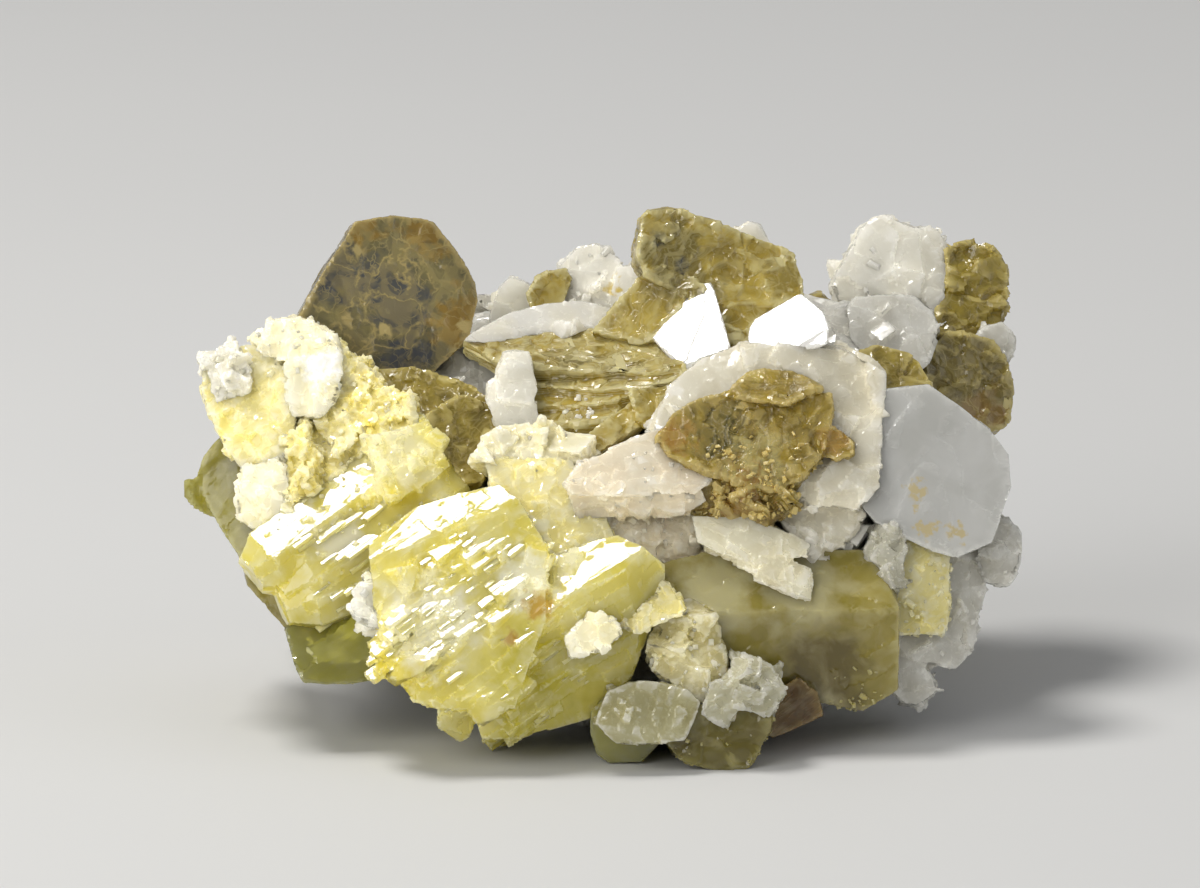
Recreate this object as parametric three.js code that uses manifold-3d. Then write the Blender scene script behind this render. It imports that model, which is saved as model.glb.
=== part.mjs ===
// A cluster of brazilianite crystals grown with albite and muscovite.
// Units are millimetres, +Z is up and the origin lies in the flat face that the cluster rests on.
// Crystals are described in the front view: across, up in the view, and away from the viewer.
import * as THREE from "three";
import { ConvexGeometry } from "three/addons/geometries/ConvexGeometry.js";
import { mergeVertices } from "three/addons/utils/BufferGeometryUtils.js";
import Module from "manifold-3d";

// The front view looks down by this angle
const VIEW_TILT = THREE.MathUtils.degToRad(14);
// Clearance between neighbouring crystals
const GAP = 0.3;
// How much further than that the sides of a crystal stand clear, because they lean
const SIDE_CLEARANCE = 1.4;
// Height of the flat broken face under the cluster
const REST_HEIGHT = 0;
// Slopes of the faces that all the parallel brazilianite crystals share: across and up
const GLOSS_SLOPE = [-0.31, 0.82];
// Thickness of a thin and of a common packet of muscovite leaves
const LEAF = 0.75;
const PACKET = 1.1;
// How far one packet runs into the next, as a share of its thickness
const LEAF_LAP = 1.05;
// How much narrower every other packet is
const LEAF_STEP = 0.04;
// Length and width of a grain in the drusy crusts, and how much they vary
const GRAIN_LENGTH = 1.5;
const GRAIN_WIDTH = 1.0;
const GRAIN_SMALLEST = 0.75;
const GRAIN_LARGEST = 1.25;
// Corners of a grain's two slanting ends, as shares of half its width and half its length
const GRAIN_CORNERS = [
  [1, 0.4, 0.7], [-0.6, 1, 1], [-0.5, -1, 0.8],
  [1, 0.4, -1], [-0.6, 1, -1], [-0.5, -1, -1],
];
// Corners nearer than this are one corner
const SAME_CORNER = 1e-4;

const FINISH = {
  brazilianite: { color: 0xcfc46a, roughness: 0.2, metalness: 0 },
  albite: { color: 0xdedbd6, roughness: 0.45, metalness: 0 },
  muscovite: { color: 0x8f7a2e, roughness: 0.35, metalness: 0 },
};

const wasm = await Module();
wasm.setup();

// Turns a place in the front view into a point of the part
function seen([across, up, away]) {
  const sin = Math.sin(VIEW_TILT);
  const cos = Math.cos(VIEW_TILT);
  return new THREE.Vector3(across, up * sin + away * cos, up * cos - away * sin);
}

// The same, for a crystal that is broken off level with the rest face
function standing(place) {
  const point = seen(place);
  point.z = Math.max(point.z, REST_HEIGHT);
  return point;
}

// Turns a point of the part into a place in the front view
function placed([x, y, z]) {
  const sin = Math.sin(VIEW_TILT);
  const cos = Math.cos(VIEW_TILT);
  return [x, y * sin + z * cos, y * cos - z * sin];
}

// A repeatable stream of numbers from 0 to 1, by mixing the bits of a counter
function stream(seed) {
  let state = seed;
  return () => {
    state = (state + 0x6d2b79f5) | 0;
    let t = Math.imul(state ^ (state >>> 15), 1 | state);
    t = (t + Math.imul(t ^ (t >>> 7), 61 | t)) ^ t;
    return ((t ^ (t >>> 14)) >>> 0) / 2 ** 32;
  };
}

// Lays a flat outline on a face through a place, with a slope across and a slope up
function onFace(outline, [across, up, away], [slopeAcross, slopeUp]) {
  return outline.map(([u, v]) => [u, v, away + slopeAcross * (u - across) + slopeUp * (v - up)]);
}

function middleOf(points) {
  const sum = points.reduce((a, p) => a.map((c, i) => c + p[i]), [0, 0, 0]);
  return sum.map((c) => c / points.length);
}

// A block: the places of its corners, the direction that it is thick in, and its role. A body is part
// of its piece and clears its neighbours, a leaf and a grain are only part of the piece, and a cover
// only clears the neighbours.
function blockOf(corners, inward = [0, 0, 1], role = "body") {
  return { corners, inward, role };
}

// A block that runs from a front face straight back, where it may be narrower
function slab(outline, place, slope, thick, taper = 1) {
  const front = onFace(outline, place, slope);
  const middle = middleOf(front);
  const back = front.map((p) => p.map((c, i) => middle[i] + (c - middle[i]) * taper));
  return blockOf([...front, ...back.map(([u, v, d]) => [u, v, d + thick])]);
}

function inwardOf([slopeAcross, slopeUp]) {
  const length = Math.hypot(slopeAcross, slopeUp, 1);
  return [-slopeAcross / length, -slopeUp / length, 1 / length];
}

// A sheet square to its own face
function sheet(outline, place, slope, thick, role) {
  const inward = inwardOf(slope);
  const front = onFace(outline, place, slope);
  return blockOf([...front, ...front.map((p) => p.map((c, i) => c + inward[i] * thick))], inward, role);
}

// A book of leaves: a front packet with the whole outline, and packets behind it that take every
// other corner by turns, so that the edge is stepped
function book(outline, place, slope, packets, leaf = LEAF) {
  const inward = inwardOf(slope);
  const middle = middleOf(onFace(outline, place, slope));
  const leaves = Array.from({ length: packets }, (_, k) => {
    const size = 1 - LEAF_STEP * (k % 2);
    const kept = outline.filter((_corner, i) => k === 0 || (i + k) % 2 === 0);
    const moved = kept.map(([u, v]) => [
      middle[0] + (u - middle[0]) * size + inward[0] * leaf * k,
      middle[1] + (v - middle[1]) * size + inward[1] * leaf * k,
    ]);
    return sheet(moved, place.map((c, i) => c + inward[i] * leaf * k), slope, leaf * LEAF_LAP, "leaf");
  });
  return [...leaves, sheet(outline, place, slope, leaf * packets, "cover")];
}

// A prism along an axis. Each side face has an angle about the axis, from the glossy face, and a
// distance from the axis. The ends carry smaller faces: how far they stand out and how wide they are.
function prism(from, to, faces, endTip = [1, 0.6], startTip = [1, 0.6]) {
  const start = new THREE.Vector3(...from);
  const end = new THREE.Vector3(...to);
  const axis = end.clone().sub(start).normalize();
  const gloss = new THREE.Vector3(GLOSS_SLOPE[0], GLOSS_SLOPE[1], -1);
  const up = gloss.addScaledVector(axis, -gloss.dot(axis)).normalize();
  const side = new THREE.Vector3().crossVectors(axis, up).negate();
  const section = faces.map(([angle, distance], k) => {
    const [nextAngle, nextDistance] = faces[(k + 1) % faces.length];
    const a = THREE.MathUtils.degToRad(angle);
    const b = THREE.MathUtils.degToRad(nextAngle);
    const area = Math.sin(b - a);
    return [
      (distance * Math.sin(b) - nextDistance * Math.sin(a)) / area,
      (nextDistance * Math.cos(a) - distance * Math.cos(b)) / area,
    ];
  });
  const ring = (centre, size) =>
    section.map(([p, q]) =>
      centre.clone().addScaledVector(up, p * size).addScaledVector(side, q * size).toArray(),
    );
  const past = end.clone().addScaledVector(axis, endTip[0]);
  const before = start.clone().addScaledVector(axis, -startTip[0]);
  const tips = [...ring(past, endTip[1]), ...ring(before, startTip[1])];
  const corners = [...ring(start, 1), ...ring(end, 1), ...tips];
  return blockOf(corners, axis.toArray());
}

// A crust of grains, one at each place, turned every way by the stream
function crust(places, seed, size = 1) {
  const next = stream(seed);
  return places.map((place) => {
    const scale = size * (GRAIN_SMALLEST + (GRAIN_LARGEST - GRAIN_SMALLEST) * next());
    const turn = new THREE.Euler(2 * Math.PI * next(), 2 * Math.PI * next(), 2 * Math.PI * next());
    const wide = (GRAIN_WIDTH / 2) * scale;
    const long = (GRAIN_LENGTH / 2) * scale;
    const corners = GRAIN_CORNERS.map(([across, up, away]) => {
      const corner = new THREE.Vector3(across * wide, up * wide, away * long).applyEuler(turn).toArray();
      return place.map((c, i) => c + corner[i]);
    });
    return blockOf(corners, [0, 0, 1], "grain");
  });
}

// Places for a crust along a line between two places, each a little off the line
function along(from, to, count, spread, seed) {
  const next = stream(seed);
  return Array.from({ length: count }, (_, k) => {
    const t = count > 1 ? k / (count - 1) : 0.5;
    return from.map((c, i) => c + (to[i] - c) * t + (next() - 0.5) * 2 * spread);
  });
}

// The closed convex solid round the points of one block
function hullOf(points) {
  const geometry = new ConvexGeometry(points);
  geometry.deleteAttribute("normal");
  geometry.deleteAttribute("uv");
  const merged = mergeVertices(geometry, SAME_CORNER);
  return new wasm.Manifold(
    new wasm.Mesh({
      numProp: 3,
      vertProperties: merged.attributes.position.array,
      triVerts: new Uint32Array(merged.index.array),
    }),
  );
}

function fuse(solids) {
  return solids.reduce((whole, s) => whole.add(s));
}

function solidOf(blocks, roles) {
  const chosen = blocks.filter(({ role }) => roles.includes(role));
  return fuse(chosen.map(({ corners }) => hullOf(corners.map(standing))));
}

// Moves a block's corners out by the clearance: along its thickness, and away from its middle. A lump
// has no thickness of its own, so its corners move along all three directions.
function grown({ corners, inward }) {
  const middle = middleOf(corners);
  if (!inward) {
    return corners.map((corner) => corner.map((c, i) => c + Math.sign(c - middle[i]) * GAP));
  }
  return corners.map((corner) => {
    const out = corner.map((c, i) => c - middle[i]);
    const deep = out.reduce((sum, c, i) => sum + c * inward[i], 0);
    const wide = out.map((c, i) => c - deep * inward[i]);
    const reach = Math.hypot(...wide) || 1;
    const aside = (SIDE_CLEARANCE * GAP) / reach;
    return corner.map((c, i) => c + Math.sign(deep) * GAP * inward[i] + aside * wide[i]);
  });
}

// The solid that cuts a piece's neighbours clear of it
function clearanceOf(blocks) {
  const body = blocks.filter(({ role }) => role === "body" || role === "cover");
  return fuse(body.map((block) => hullOf(grown(block).map(seen))));
}

function cutClear(solid, others) {
  return others.reduce((left, { clearance }) => {
    const touches = !left.intersect(clearance).isEmpty();
    return touches ? left.subtract(clearance) : left;
  }, solid);
}

function largestBody(solid) {
  return solid.decompose().reduce((a, b) => (b.volume() > a.volume() ? b : a));
}

// Each piece: its name, its mineral and its convex blocks
const pieces = [];
function piece(name, mineral, ...blocks) {
  pieces.push({ name, mineral, blocks: blocks.map((block) => (block.corners ? block : blockOf(block))) });
}

// The albite mass that everything grows on, from the broken face up
function matrix() {
  const foot = [
    [-8, 3, 0], [4.5, -7.5, 0], [10.5, -7, 0], [13, -1.5, 0],
    [18, 7, 0], [17, 14, 0], [7, 19, 0], [-6, 19, 0], [-15, 14, 0],
  ];
  const waist = [
    [-15, -1, 10], [-9, -6, 9], [4, -8.5, 7], [15, -4, 9], [21, 2, 10],
    [23, 12, 11], [10, 20, 11], [-9, 20, 11], [-19, 13, 11],
  ];
  const shoulder = [
    [-17, 5, 21], [-8, 0.5, 17], [6, -1, 17], [19, 2, 17], [22, 9, 20],
    [19, 17, 22], [2, 19, 21], [-14, 17, 20],
  ];
  const brow = [
    [-14, 7, 23], [-7, 6.5, 23.5], [6, 5, 23.5], [17, 7, 23.5], [20, 14, 26],
    [6, 16, 26.6], [-9, 15, 25],
  ];
  piece(
    "albite_matrix",
    "albite",
    blockOf([...foot, ...waist].map(placed), null),
    blockOf([...waist, ...shoulder].map(placed), null),
    blockOf([...shoulder, ...brow].map(placed), null),
    slab([[-13.2, 22.6], [-10.2, 25.5], [-8.9, 26.6], [-6.6, 27.4], [-4.2, 24.6], [-6.6, 20.4],
      [-11, 20.4]],
      [-9, 24, 0.5], [0.1, 0.75], 5, 0.9),
  );
}

// The large front brazilianite: a glossy top face, a striated front and a stepped right end
function frontBrazilianite() {
  piece(
    "brazilianite_front",
    "brazilianite",
    [
      ...onFace([[-15.7, 11.8], [-12.5, 14.3], [-10.5, 14.9], [-7, 15.8], [-5.9, 14.9], [-9.1, 13.2],
        [-14, 11.8]], [-11.2, 12.4, -15.5], GLOSS_SLOPE),
      ...onFace([[-15.7, 10.9], [-11.2, 12.3], [-6.6, 14], [-3.9, 11.8], [-4, 7], [-6, 1],
        [-10.2, 0.9], [-12.6, 1.2], [-14.8, 4], [-15.2, 8]], [-11.2, 12.4, -15.5], [-0.04, 0.12]),
      [-14, 4, -7], [-6, 0.4, -7], [-4, 12, -7], [-14, 12, -7],
    ],
    [
      ...onFace([[-3.2, 10.8], [0, 12.1], [1.1, 12.3], [1.7, 11.8], [1.7, 10.2], [0, 9.4],
        [-2.8, 8]], [0.3, 10.4, -15], GLOSS_SLOPE),
      ...onFace([[2.9, 11.5], [4.2, 10.4], [4.2, 9.4], [3.1, 8.2]], [1.7, 10.2, -15.7], [0.7, -0.2]),
      ...onFace([[-3, 8], [2.6, 6], [2, 3], [-0.4, 0.3], [-3.5, -0.5], [-5.6, -1.2], [-7.9, -1.3],
        [-8.4, 0.2], [-6.8, 4.2]], [0.3, 9.4, -15.8], [0.23, -0.3]),
      [4, 9.5, -9], [0, 0.6, -8], [-7.6, -1.2, -8], [-3, 11, -8],
    ],
    [[-11, 0.1, -13.4], [-11, -0.4, -13.2], [-9.9, -1.3, -12.6], [-9.6, -1.4, -12.5], [-9.2, -1.2, -12.6],
      [-9.1, -0.4, -12.8], [-8.4, 1.2, -13], [-11, 2, -13.6], [-10.5, 1.5, -11], [-9.4, -0.8, -11.2]],
    ...crust([[-13.8, 9.6, -15.8], [-14, 6.4, -16.4], [-13, 4, -16.8]], 11, 1.2),
  );
}

// Three parallel brazilianite prisms on the left, the top one with the glossy band
function leftBrazilianite() {
  piece(
    "brazilianite_left_prisms",
    "brazilianite",
    prism([-23.2, 10.9, -9.8], [-13, 18.2, -7],
      [[0, 1.5], [62, 2.1], [120, 2.4], [185, 2.4], [250, 2.4], [300, 1.7]], [1.5, 0.7], [1.2, 0.6]),
    prism([-20.2, 9.8, -9.6], [-11.2, 15.4, -7.6],
      [[24, 2.1], [75, 2.2], [130, 2.3], [190, 2.3], [250, 2.2], [320, 2.2]], [1.5, 0.7], [2.2, 0.5]),
    prism([-20.2, 8.2, -9.6], [-12.6, 11.4, -8],
      [[20, 2.0], [70, 2.1], [125, 2.0], [180, 2.2], [240, 2.2], [310, 2.0]], [1.5, 0.7], [1.8, 0.5]),
    [...onFace([[-12, 20.2], [-10.7, 17.6], [-11.9, 16.6], [-14.5, 15], [-16, 19]], [-13, 18, -9.6],
      [0.3, 0.6]), [-11, 18, -5], [-15, 15, -5]],
  );
  piece(
    "brazilianite_lower_left",
    "brazilianite",
    slab([[-21.6, 6], [-21.2, 4.8], [-20.8, 3.4], [-20.4, 2.6], [-18.9, 2.5], [-17.2, 2.5],
      [-15.8, 2.9], [-14.4, 3], [-14.4, 6], [-16, 8], [-20, 8]], [-17.5, 5, -9.6],
      [0.15, 0.35], 7, 0.8),
  );
  piece(
    "brazilianite_far_left",
    "brazilianite",
    slab([[-26.8, 18.8], [-27.5, 17.9], [-27.9, 16.7], [-27.8, 16.2], [-27, 14.4], [-25, 11.3],
      [-23, 12.5], [-22.5, 16], [-23.5, 20], [-25.5, 20]], [-25.5, 16, -5.5], [-0.5, 0.3], 8, 0.75),
    [[-29, 15.6, -4.3], [-28.7, 16.1, -4.6], [-28, 16.3, -4.4], [-26.6, 14.8, -4], [-27, 14.2, -4],
      [-28.3, 14.8, -4.6], [-28.4, 15.6, -3.4], [-26.4, 14.4, -3]],
  );
}

// Broken bits of albite that sit on the front crystals
function frontChips() {
  piece(
    "albite_left_chip",
    "albite",
    slab([[-16.8, 8], [-16.4, 9], [-15.5, 9.4], [-14, 8.5], [-13.8, 7.3], [-15, 6.2], [-16.7, 7.1]],
      [-15.4, 8, -15.4], [-0.1, 0.2], 6),
    ...crust([[-16.2, 8.2, -15.2], [-15.2, 7, -15.4], [-15.4, 9, -15], [-14.4, 6.6, -15]], 21, 0.9),
  );
  piece(
    "albite_right_chip",
    "albite",
    slab([[2.8, 7.8], [3.9, 9.2], [4.6, 9], [5.7, 7.5], [3.9, 6.8], [2.8, 6.1], [1.4, 6.4]],
      [3.5, 7.5, -14.6], [0.1, 0.3], 5),
  );
  piece(
    "albite_middle_chip",
    "albite",
    slab([[-1.8, 4.5], [-2, 5.5], [-0.7, 7.1], [0.8, 6.9], [1.2, 5.7], [0, 4.8]], [-0.4, 5.8, -16.6],
      [0, 0.2], 1.8),
  );
}

// Small crystals along the bottom edge, which the cluster stands on in front
function lowerCrystals() {
  piece(
    "albite_bottom_plate",
    "albite",
    slab([[0, -0.3], [0.4, 0.8], [0.8, 1.7], [2.1, 2.2], [4.2, 2.2], [6, 1.7], [6.7, 1], [6.3, 0],
      [5.6, -1.3], [3.2, -1.6], [1.3, -1.5]], [3.3, 0.5, -15.8], [0.15, 0.25], 2.2),
  );
  piece(
    "albite_bottom_druse",
    "albite",
    slab([[9.5, 3.8], [10.5, 3.9], [11.6, 3.4], [12.5, 1.7], [11.6, 0.3], [10.8, 1.2], [9.5, 0.9],
      [9.2, 2.5]], [10.8, 2.3, -14.4], [0.1, 0.2], 5),
    slab([[7.8, 1.3], [7.3, 0.4], [8.7, -0.4], [9.4, 0.8], [9.8, 2], [8.9, 2.4], [7.8, 2.2]],
      [8.6, 1, -15.2], [0.1, 0.1], 4),
    ...crust([[10, 3.2, -14.4], [11.6, 2.4, -14.2], [10.2, 1.6, -14.8]], 31),
  );
  piece(
    "albite_pale_cluster",
    "albite",
    slab([[3.9, 3.4], [4.6, 5.2], [4.6, 7.3], [6.3, 8], [7.8, 7.2], [7.8, 5.2], [8.5, 3.8],
      [8.5, 2.4], [7, 1.4], [5.6, 2.2]], [6.2, 4.8, -13.6], [0.1, 0.25], 5),
    ...crust([[5, 6.8, -13.2], [7, 6.6, -13], [4.8, 4.6, -13.6], [6.8, 2.4, -13.9]], 32, 1.5),
  );
  piece(
    "brazilianite_lower_yellow",
    "brazilianite",
    slab([[-0.4, 0.3], [-0.4, -1.1], [0, -2.4], [0.7, -2.9], [2.8, -2.8], [3.9, -1.7], [4, 1],
      [1, 2]], [1.5, -1, -13.4], [0, -0.2], 5),
  );
  piece(
    "brazilianite_bottom_olive",
    "brazilianite",
    slab([[4.8, -1.7], [6.3, 0], [7, 0.6], [11.6, 1], [11.6, -0.8], [10.6, -1.7], [10.4, -2.9],
      [9.9, -3.4], [8, -3.4], [6.3, -3], [5.6, -2.7]], [8.3, -1.5, -14.6], [0.1, -0.1], 6),
  );
  piece(
    "brazilianite_bottom_brown",
    "brazilianite",
    slab([[11.3, -0.8], [11.8, 0.3], [12.6, 1.7], [13.7, 2.4], [14.8, 1.6], [15.2, 0.2], [13, -0.8],
      [12, -1.2]], [13.3, 0.5, -11.4], [0.2, -0.1], 6),
  );
}

// The broad brazilianite at the lower right, frosted above and clear below, with albite blades over it
function rightBrazilianite() {
  piece(
    "albite_low_blades",
    "albite",
    slab([[6.7, 13.6], [10.2, 13.6], [13, 12.5], [14.2, 11.8], [13.8, 11.3], [11.2, 10.8],
      [8.4, 11.5], [7, 12.2]], [10, 12.2, -11.6], [0.15, 0.4], 5, 0.8),
    slab([[9.8, 11], [11.6, 10.8], [13.2, 10.2], [13.2, 9.5], [11.9, 9.9], [9.8, 10.5]],
      [11.5, 10.3, -12], [0.1, 0.3], 3),
  );
  piece(
    "albite_right_druse",
    "albite",
    slab([[19.5, 13.4], [20.3, 13.4], [21, 12.7], [20.8, 10.1], [20.5, 8.7], [19, 7.8], [18, 9.4],
      [18.6, 11.5]], [19.6, 11, -9.6], [0, 0.1], 3.6),
    ...crust([[18.8, 9.2, -9.8], [20.2, 9.6, -10], [19.6, 11.2, -9.9], [20, 12.7, -9.6]], 41),
  );
  piece(
    "brazilianite_right",
    "brazilianite",
    [
      ...onFace([[4.2, 10.4], [7, 11.1], [9.8, 10.8], [14, 10.6], [17.5, 11.3], [18.8, 11.2],
        [18.8, 7.5], [14, 6.8], [9, 6.5], [6.3, 7.5]], [12, 8.5, -11.4], [0.12, 0.45]),
      ...onFace([[6.3, 7.2], [9, 6.2], [14, 6.4], [18.8, 7.1], [20.5, 7.5], [20.5, 2], [19.6, 1.7],
        [18.2, 0.6], [16.5, 1.2], [15.4, 1.2], [13.7, 2.2], [12.6, 2], [11, 3.8], [8.4, 5.2]],
        [14, 4.5, -11.4], [0.12, -0.35]),
      [5, 10, -5], [20, 11, -4], [20, 2.5, -3], [12, 3, -4], [17.5, 1.2, -5],
    ],
  );
}

// Albite blocks, the muscovite blade and the pale brazilianite in the middle of the front
function middleOfFront() {
  piece(
    "albite_pink_block",
    "albite",
    slab([[-2.1, 16.3], [-1.3, 17.3], [2.8, 19.2], [4.2, 19.7], [5.6, 17.8], [8.1, 17.1],
      [6.3, 15.6], [-1.8, 15.6]], [2, 16.3, -11.6], [0.05, 0.55], 5, 0.9),
    slab([[-2.2, 16], [6.5, 15.9], [7, 15], [6.3, 14.5], [3.9, 14.5], [0.7, 14], [-1.3, 14],
      [-1.8, 15.1]], [2, 15.8, -11.7], [0.05, -0.2], 5, 0.9),
  );
  piece(
    "albite_white_cap",
    "albite",
    slab([[-8, 18.7], [-7.9, 19.3], [-7, 19.9], [-3.9, 20], [-2.8, 19.7], [-1.8, 19.2], [-0.4, 18.3],
      [-2.1, 17.6], [-4.2, 17.2], [-7.7, 17.6]], [-5, 18.8, -8.8], [0.1, 0.8], 4),
    ...crust([[-7, 18.8, -8.9], [-4.4, 18.9, -8.7], [-1.8, 18.4, -8.8], [-7.6, 17.6, -9.6],
      [-8.2, 16.2, -9.8]],
      51, 1.3),
  );
  piece(
    "brazilianite_middle",
    "brazilianite",
    slab([[-7.7, 17.7], [-2.1, 17.6], [-2.5, 16.8], [-2.2, 15], [-1.9, 13.9], [0, 13.1], [0.8, 12.4],
      [-0.5, 11], [-4, 10.8], [-6.2, 14.6], [-7.4, 15.9]], [-4, 14.5, -11.4], [0.1, 0.45], 7),
  );
  piece(
    "albite_dull_block",
    "albite",
    slab([[0.4, 14], [3.9, 14.4], [6.3, 14.1], [6.8, 12.2], [6.3, 10.8], [5, 10.4], [4.2, 10.6],
      [2.8, 11.8], [1.5, 12.5], [0, 13.2]], [3.5, 12.5, -10.4], [0.2, 0.1], 5),
  );
  piece(
    "muscovite_diagonal_blade",
    "muscovite",
    ...book([[-3.2, 16.7], [-2.1, 17.1], [-0.7, 17.8], [1.4, 19.5], [3.6, 21.3], [2.8, 21.9],
      [0, 19.9], [-1.8, 18.1], [-2.8, 17.6]], [0, 19, -8.4], [-0.1, 0.5], 2, PACKET),
    slab([[2.3, 22.5], [4.8, 22.8], [4.4, 22], [3.5, 20.2], [2.9, 20.6]], [3.5, 21.8, -7.4],
      [0.2, 0.5], 2.5),
  );
}

// The rusty muscovite book in front, with the crumbled mica under it
function frontMuscovite() {
  piece(
    "muscovite_front_book",
    "muscovite",
    ...book([[4.2, 19.2], [5.2, 20.8], [7, 21.8], [9.1, 22.2], [13.5, 22.4], [15.8, 22.1],
      [16, 21.3], [15.4, 18.5], [13.6, 16.5], [11.9, 15.7], [7.4, 17.1], [5, 18.2]],
      [10, 19.5, -10.4], [0.05, 0.35], 2, PACKET),
    slab([[9.1, 22.3], [9.8, 23], [10.5, 23.6], [11.2, 23.7], [13.3, 23.7], [14, 22.9], [15, 22.7],
      [13, 21.8]], [12, 23, -9], [0, 1.1], 1.8),
    slab([[6.3, 15.7], [7.4, 16.5], [9.8, 16.4], [13.3, 16.4], [13.6, 15], [11.5, 13.2],
      [10.5, 13.4], [8.7, 13.3], [7, 13.6], [6.2, 14.6]], [9.5, 15, -10.6], [0.1, -0.1], 5, 0.8),
    slab([[15.2, 20.2], [16.7, 19.6], [17.4, 18.9], [17.4, 18.3], [16.5, 18], [15.2, 18.4]],
      [16.3, 19, -10], [0, 0.2], 1.6),
    ...crust([...along([7.4, 15.6, -11.2], [12.4, 15.2, -11.2], 3, 0.4, 5),
      ...along([8.4, 14.2, -10.8], [11.2, 14, -10.8], 2, 0.3, 6)], 62, 1.3),
  );
}

// The white albite ridge above the front book, the large blade on the right, and its lower plate
function rightPlates() {
  piece(
    "albite_ridge",
    "albite",
    slab([[4, 19.5], [4.3, 21.3], [5, 22.5], [6, 23.7], [7, 24.6], [8.4, 25.1], [10.2, 25.8],
      [12, 25], [13, 22], [10, 18], [6, 18]], [8, 23, -7.6], [-0.1, 0.7], 4),
    slab([[10, 25.7], [14, 25.3], [16.9, 25.3], [18.6, 24.5], [19.6, 23.7], [19.4, 20], [19.2, 16],
      [17.5, 14.5], [14, 15], [12.5, 17], [11, 22]], [16, 20, -8.4], [0.1, 0.42], 6),
    slab([[12.6, 15.5], [17.5, 15.2], [17.7, 13.2], [16.8, 12], [15.4, 11.5], [14.4, 11.6],
      [13.3, 12.9], [12.4, 14.3]], [15.3, 13.5, -9.4], [0.1, 0.1], 6),
  );
  piece(
    "albite_right_blade",
    "albite",
    slab([[19.7, 22.4], [22.8, 22.8], [24.9, 21.3], [27, 19.7], [28.2, 18.1], [28.4, 16],
      [27.1, 13.6], [27, 12.2], [24.9, 11.3], [23.1, 11.8], [19.3, 13.6], [18.4, 14.6]],
      [23.5, 17, -7.8], [0.22, 0.3], 2.2),
    slab([[19.9, 22], [22.6, 22.4], [25, 20.6], [27.6, 17.8], [27.7, 15.8], [26.4, 13.6], [24.4, 12],
      [20, 13.6]], [23.5, 17, -6], [0.3, 0.26], 3, 0.9),
  );
  piece(
    "brazilianite_right_square",
    "brazilianite",
    slab([[21, 12.4], [24, 11.3], [24.1, 8], [23.8, 5.9], [20.6, 5.9], [20.5, 9.4]], [22.3, 9, -8.4],
      [0.3, 0.1], 1.6),
  );
  piece(
    "albite_lower_right_plate",
    "albite",
    slab([[27, 11.8], [26.6, 9], [26.3, 8], [25.7, 6.6], [25.8, 5.7], [25.6, 4.8], [25.3, 4.2],
      [24.6, 3.6], [23.5, 3.8], [22.5, 3.9], [21.3, 4.5], [20.6, 5.5], [20.5, 9.5], [21, 12],
      [23.8, 11.8]], [23.5, 8, -6.8], [0.4, 0.1], 3.5, 0.9),
    slab([[20.5, 5.2], [20.6, 1.7], [21.3, 1.1], [22, 0.9], [23, 1.7], [23, 2.3], [22.3, 3.6],
      [21.5, 4.6]], [21.5, 3, -7.6], [0.3, -0.1], 4),
  );
  piece(
    "albite_small_pair",
    "albite",
    slab([[26.6, 13.1], [27.9, 13.5], [28.4, 13.4], [28.9, 12.7], [29.2, 12.1], [29.4, 11.6],
      [28.7, 11], [26.6, 11.3]], [28, 12.3, -5.4], [0.2, 0.2], 2.4),
    slab([[26.4, 11], [28, 11.5], [29, 10.9], [29, 10.6], [28.3, 9.3], [27.3, 9.4], [26.4, 9.6]],
      [28, 10.4, -5.6], [0.1, 0], 2.4),
  );
}

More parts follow.
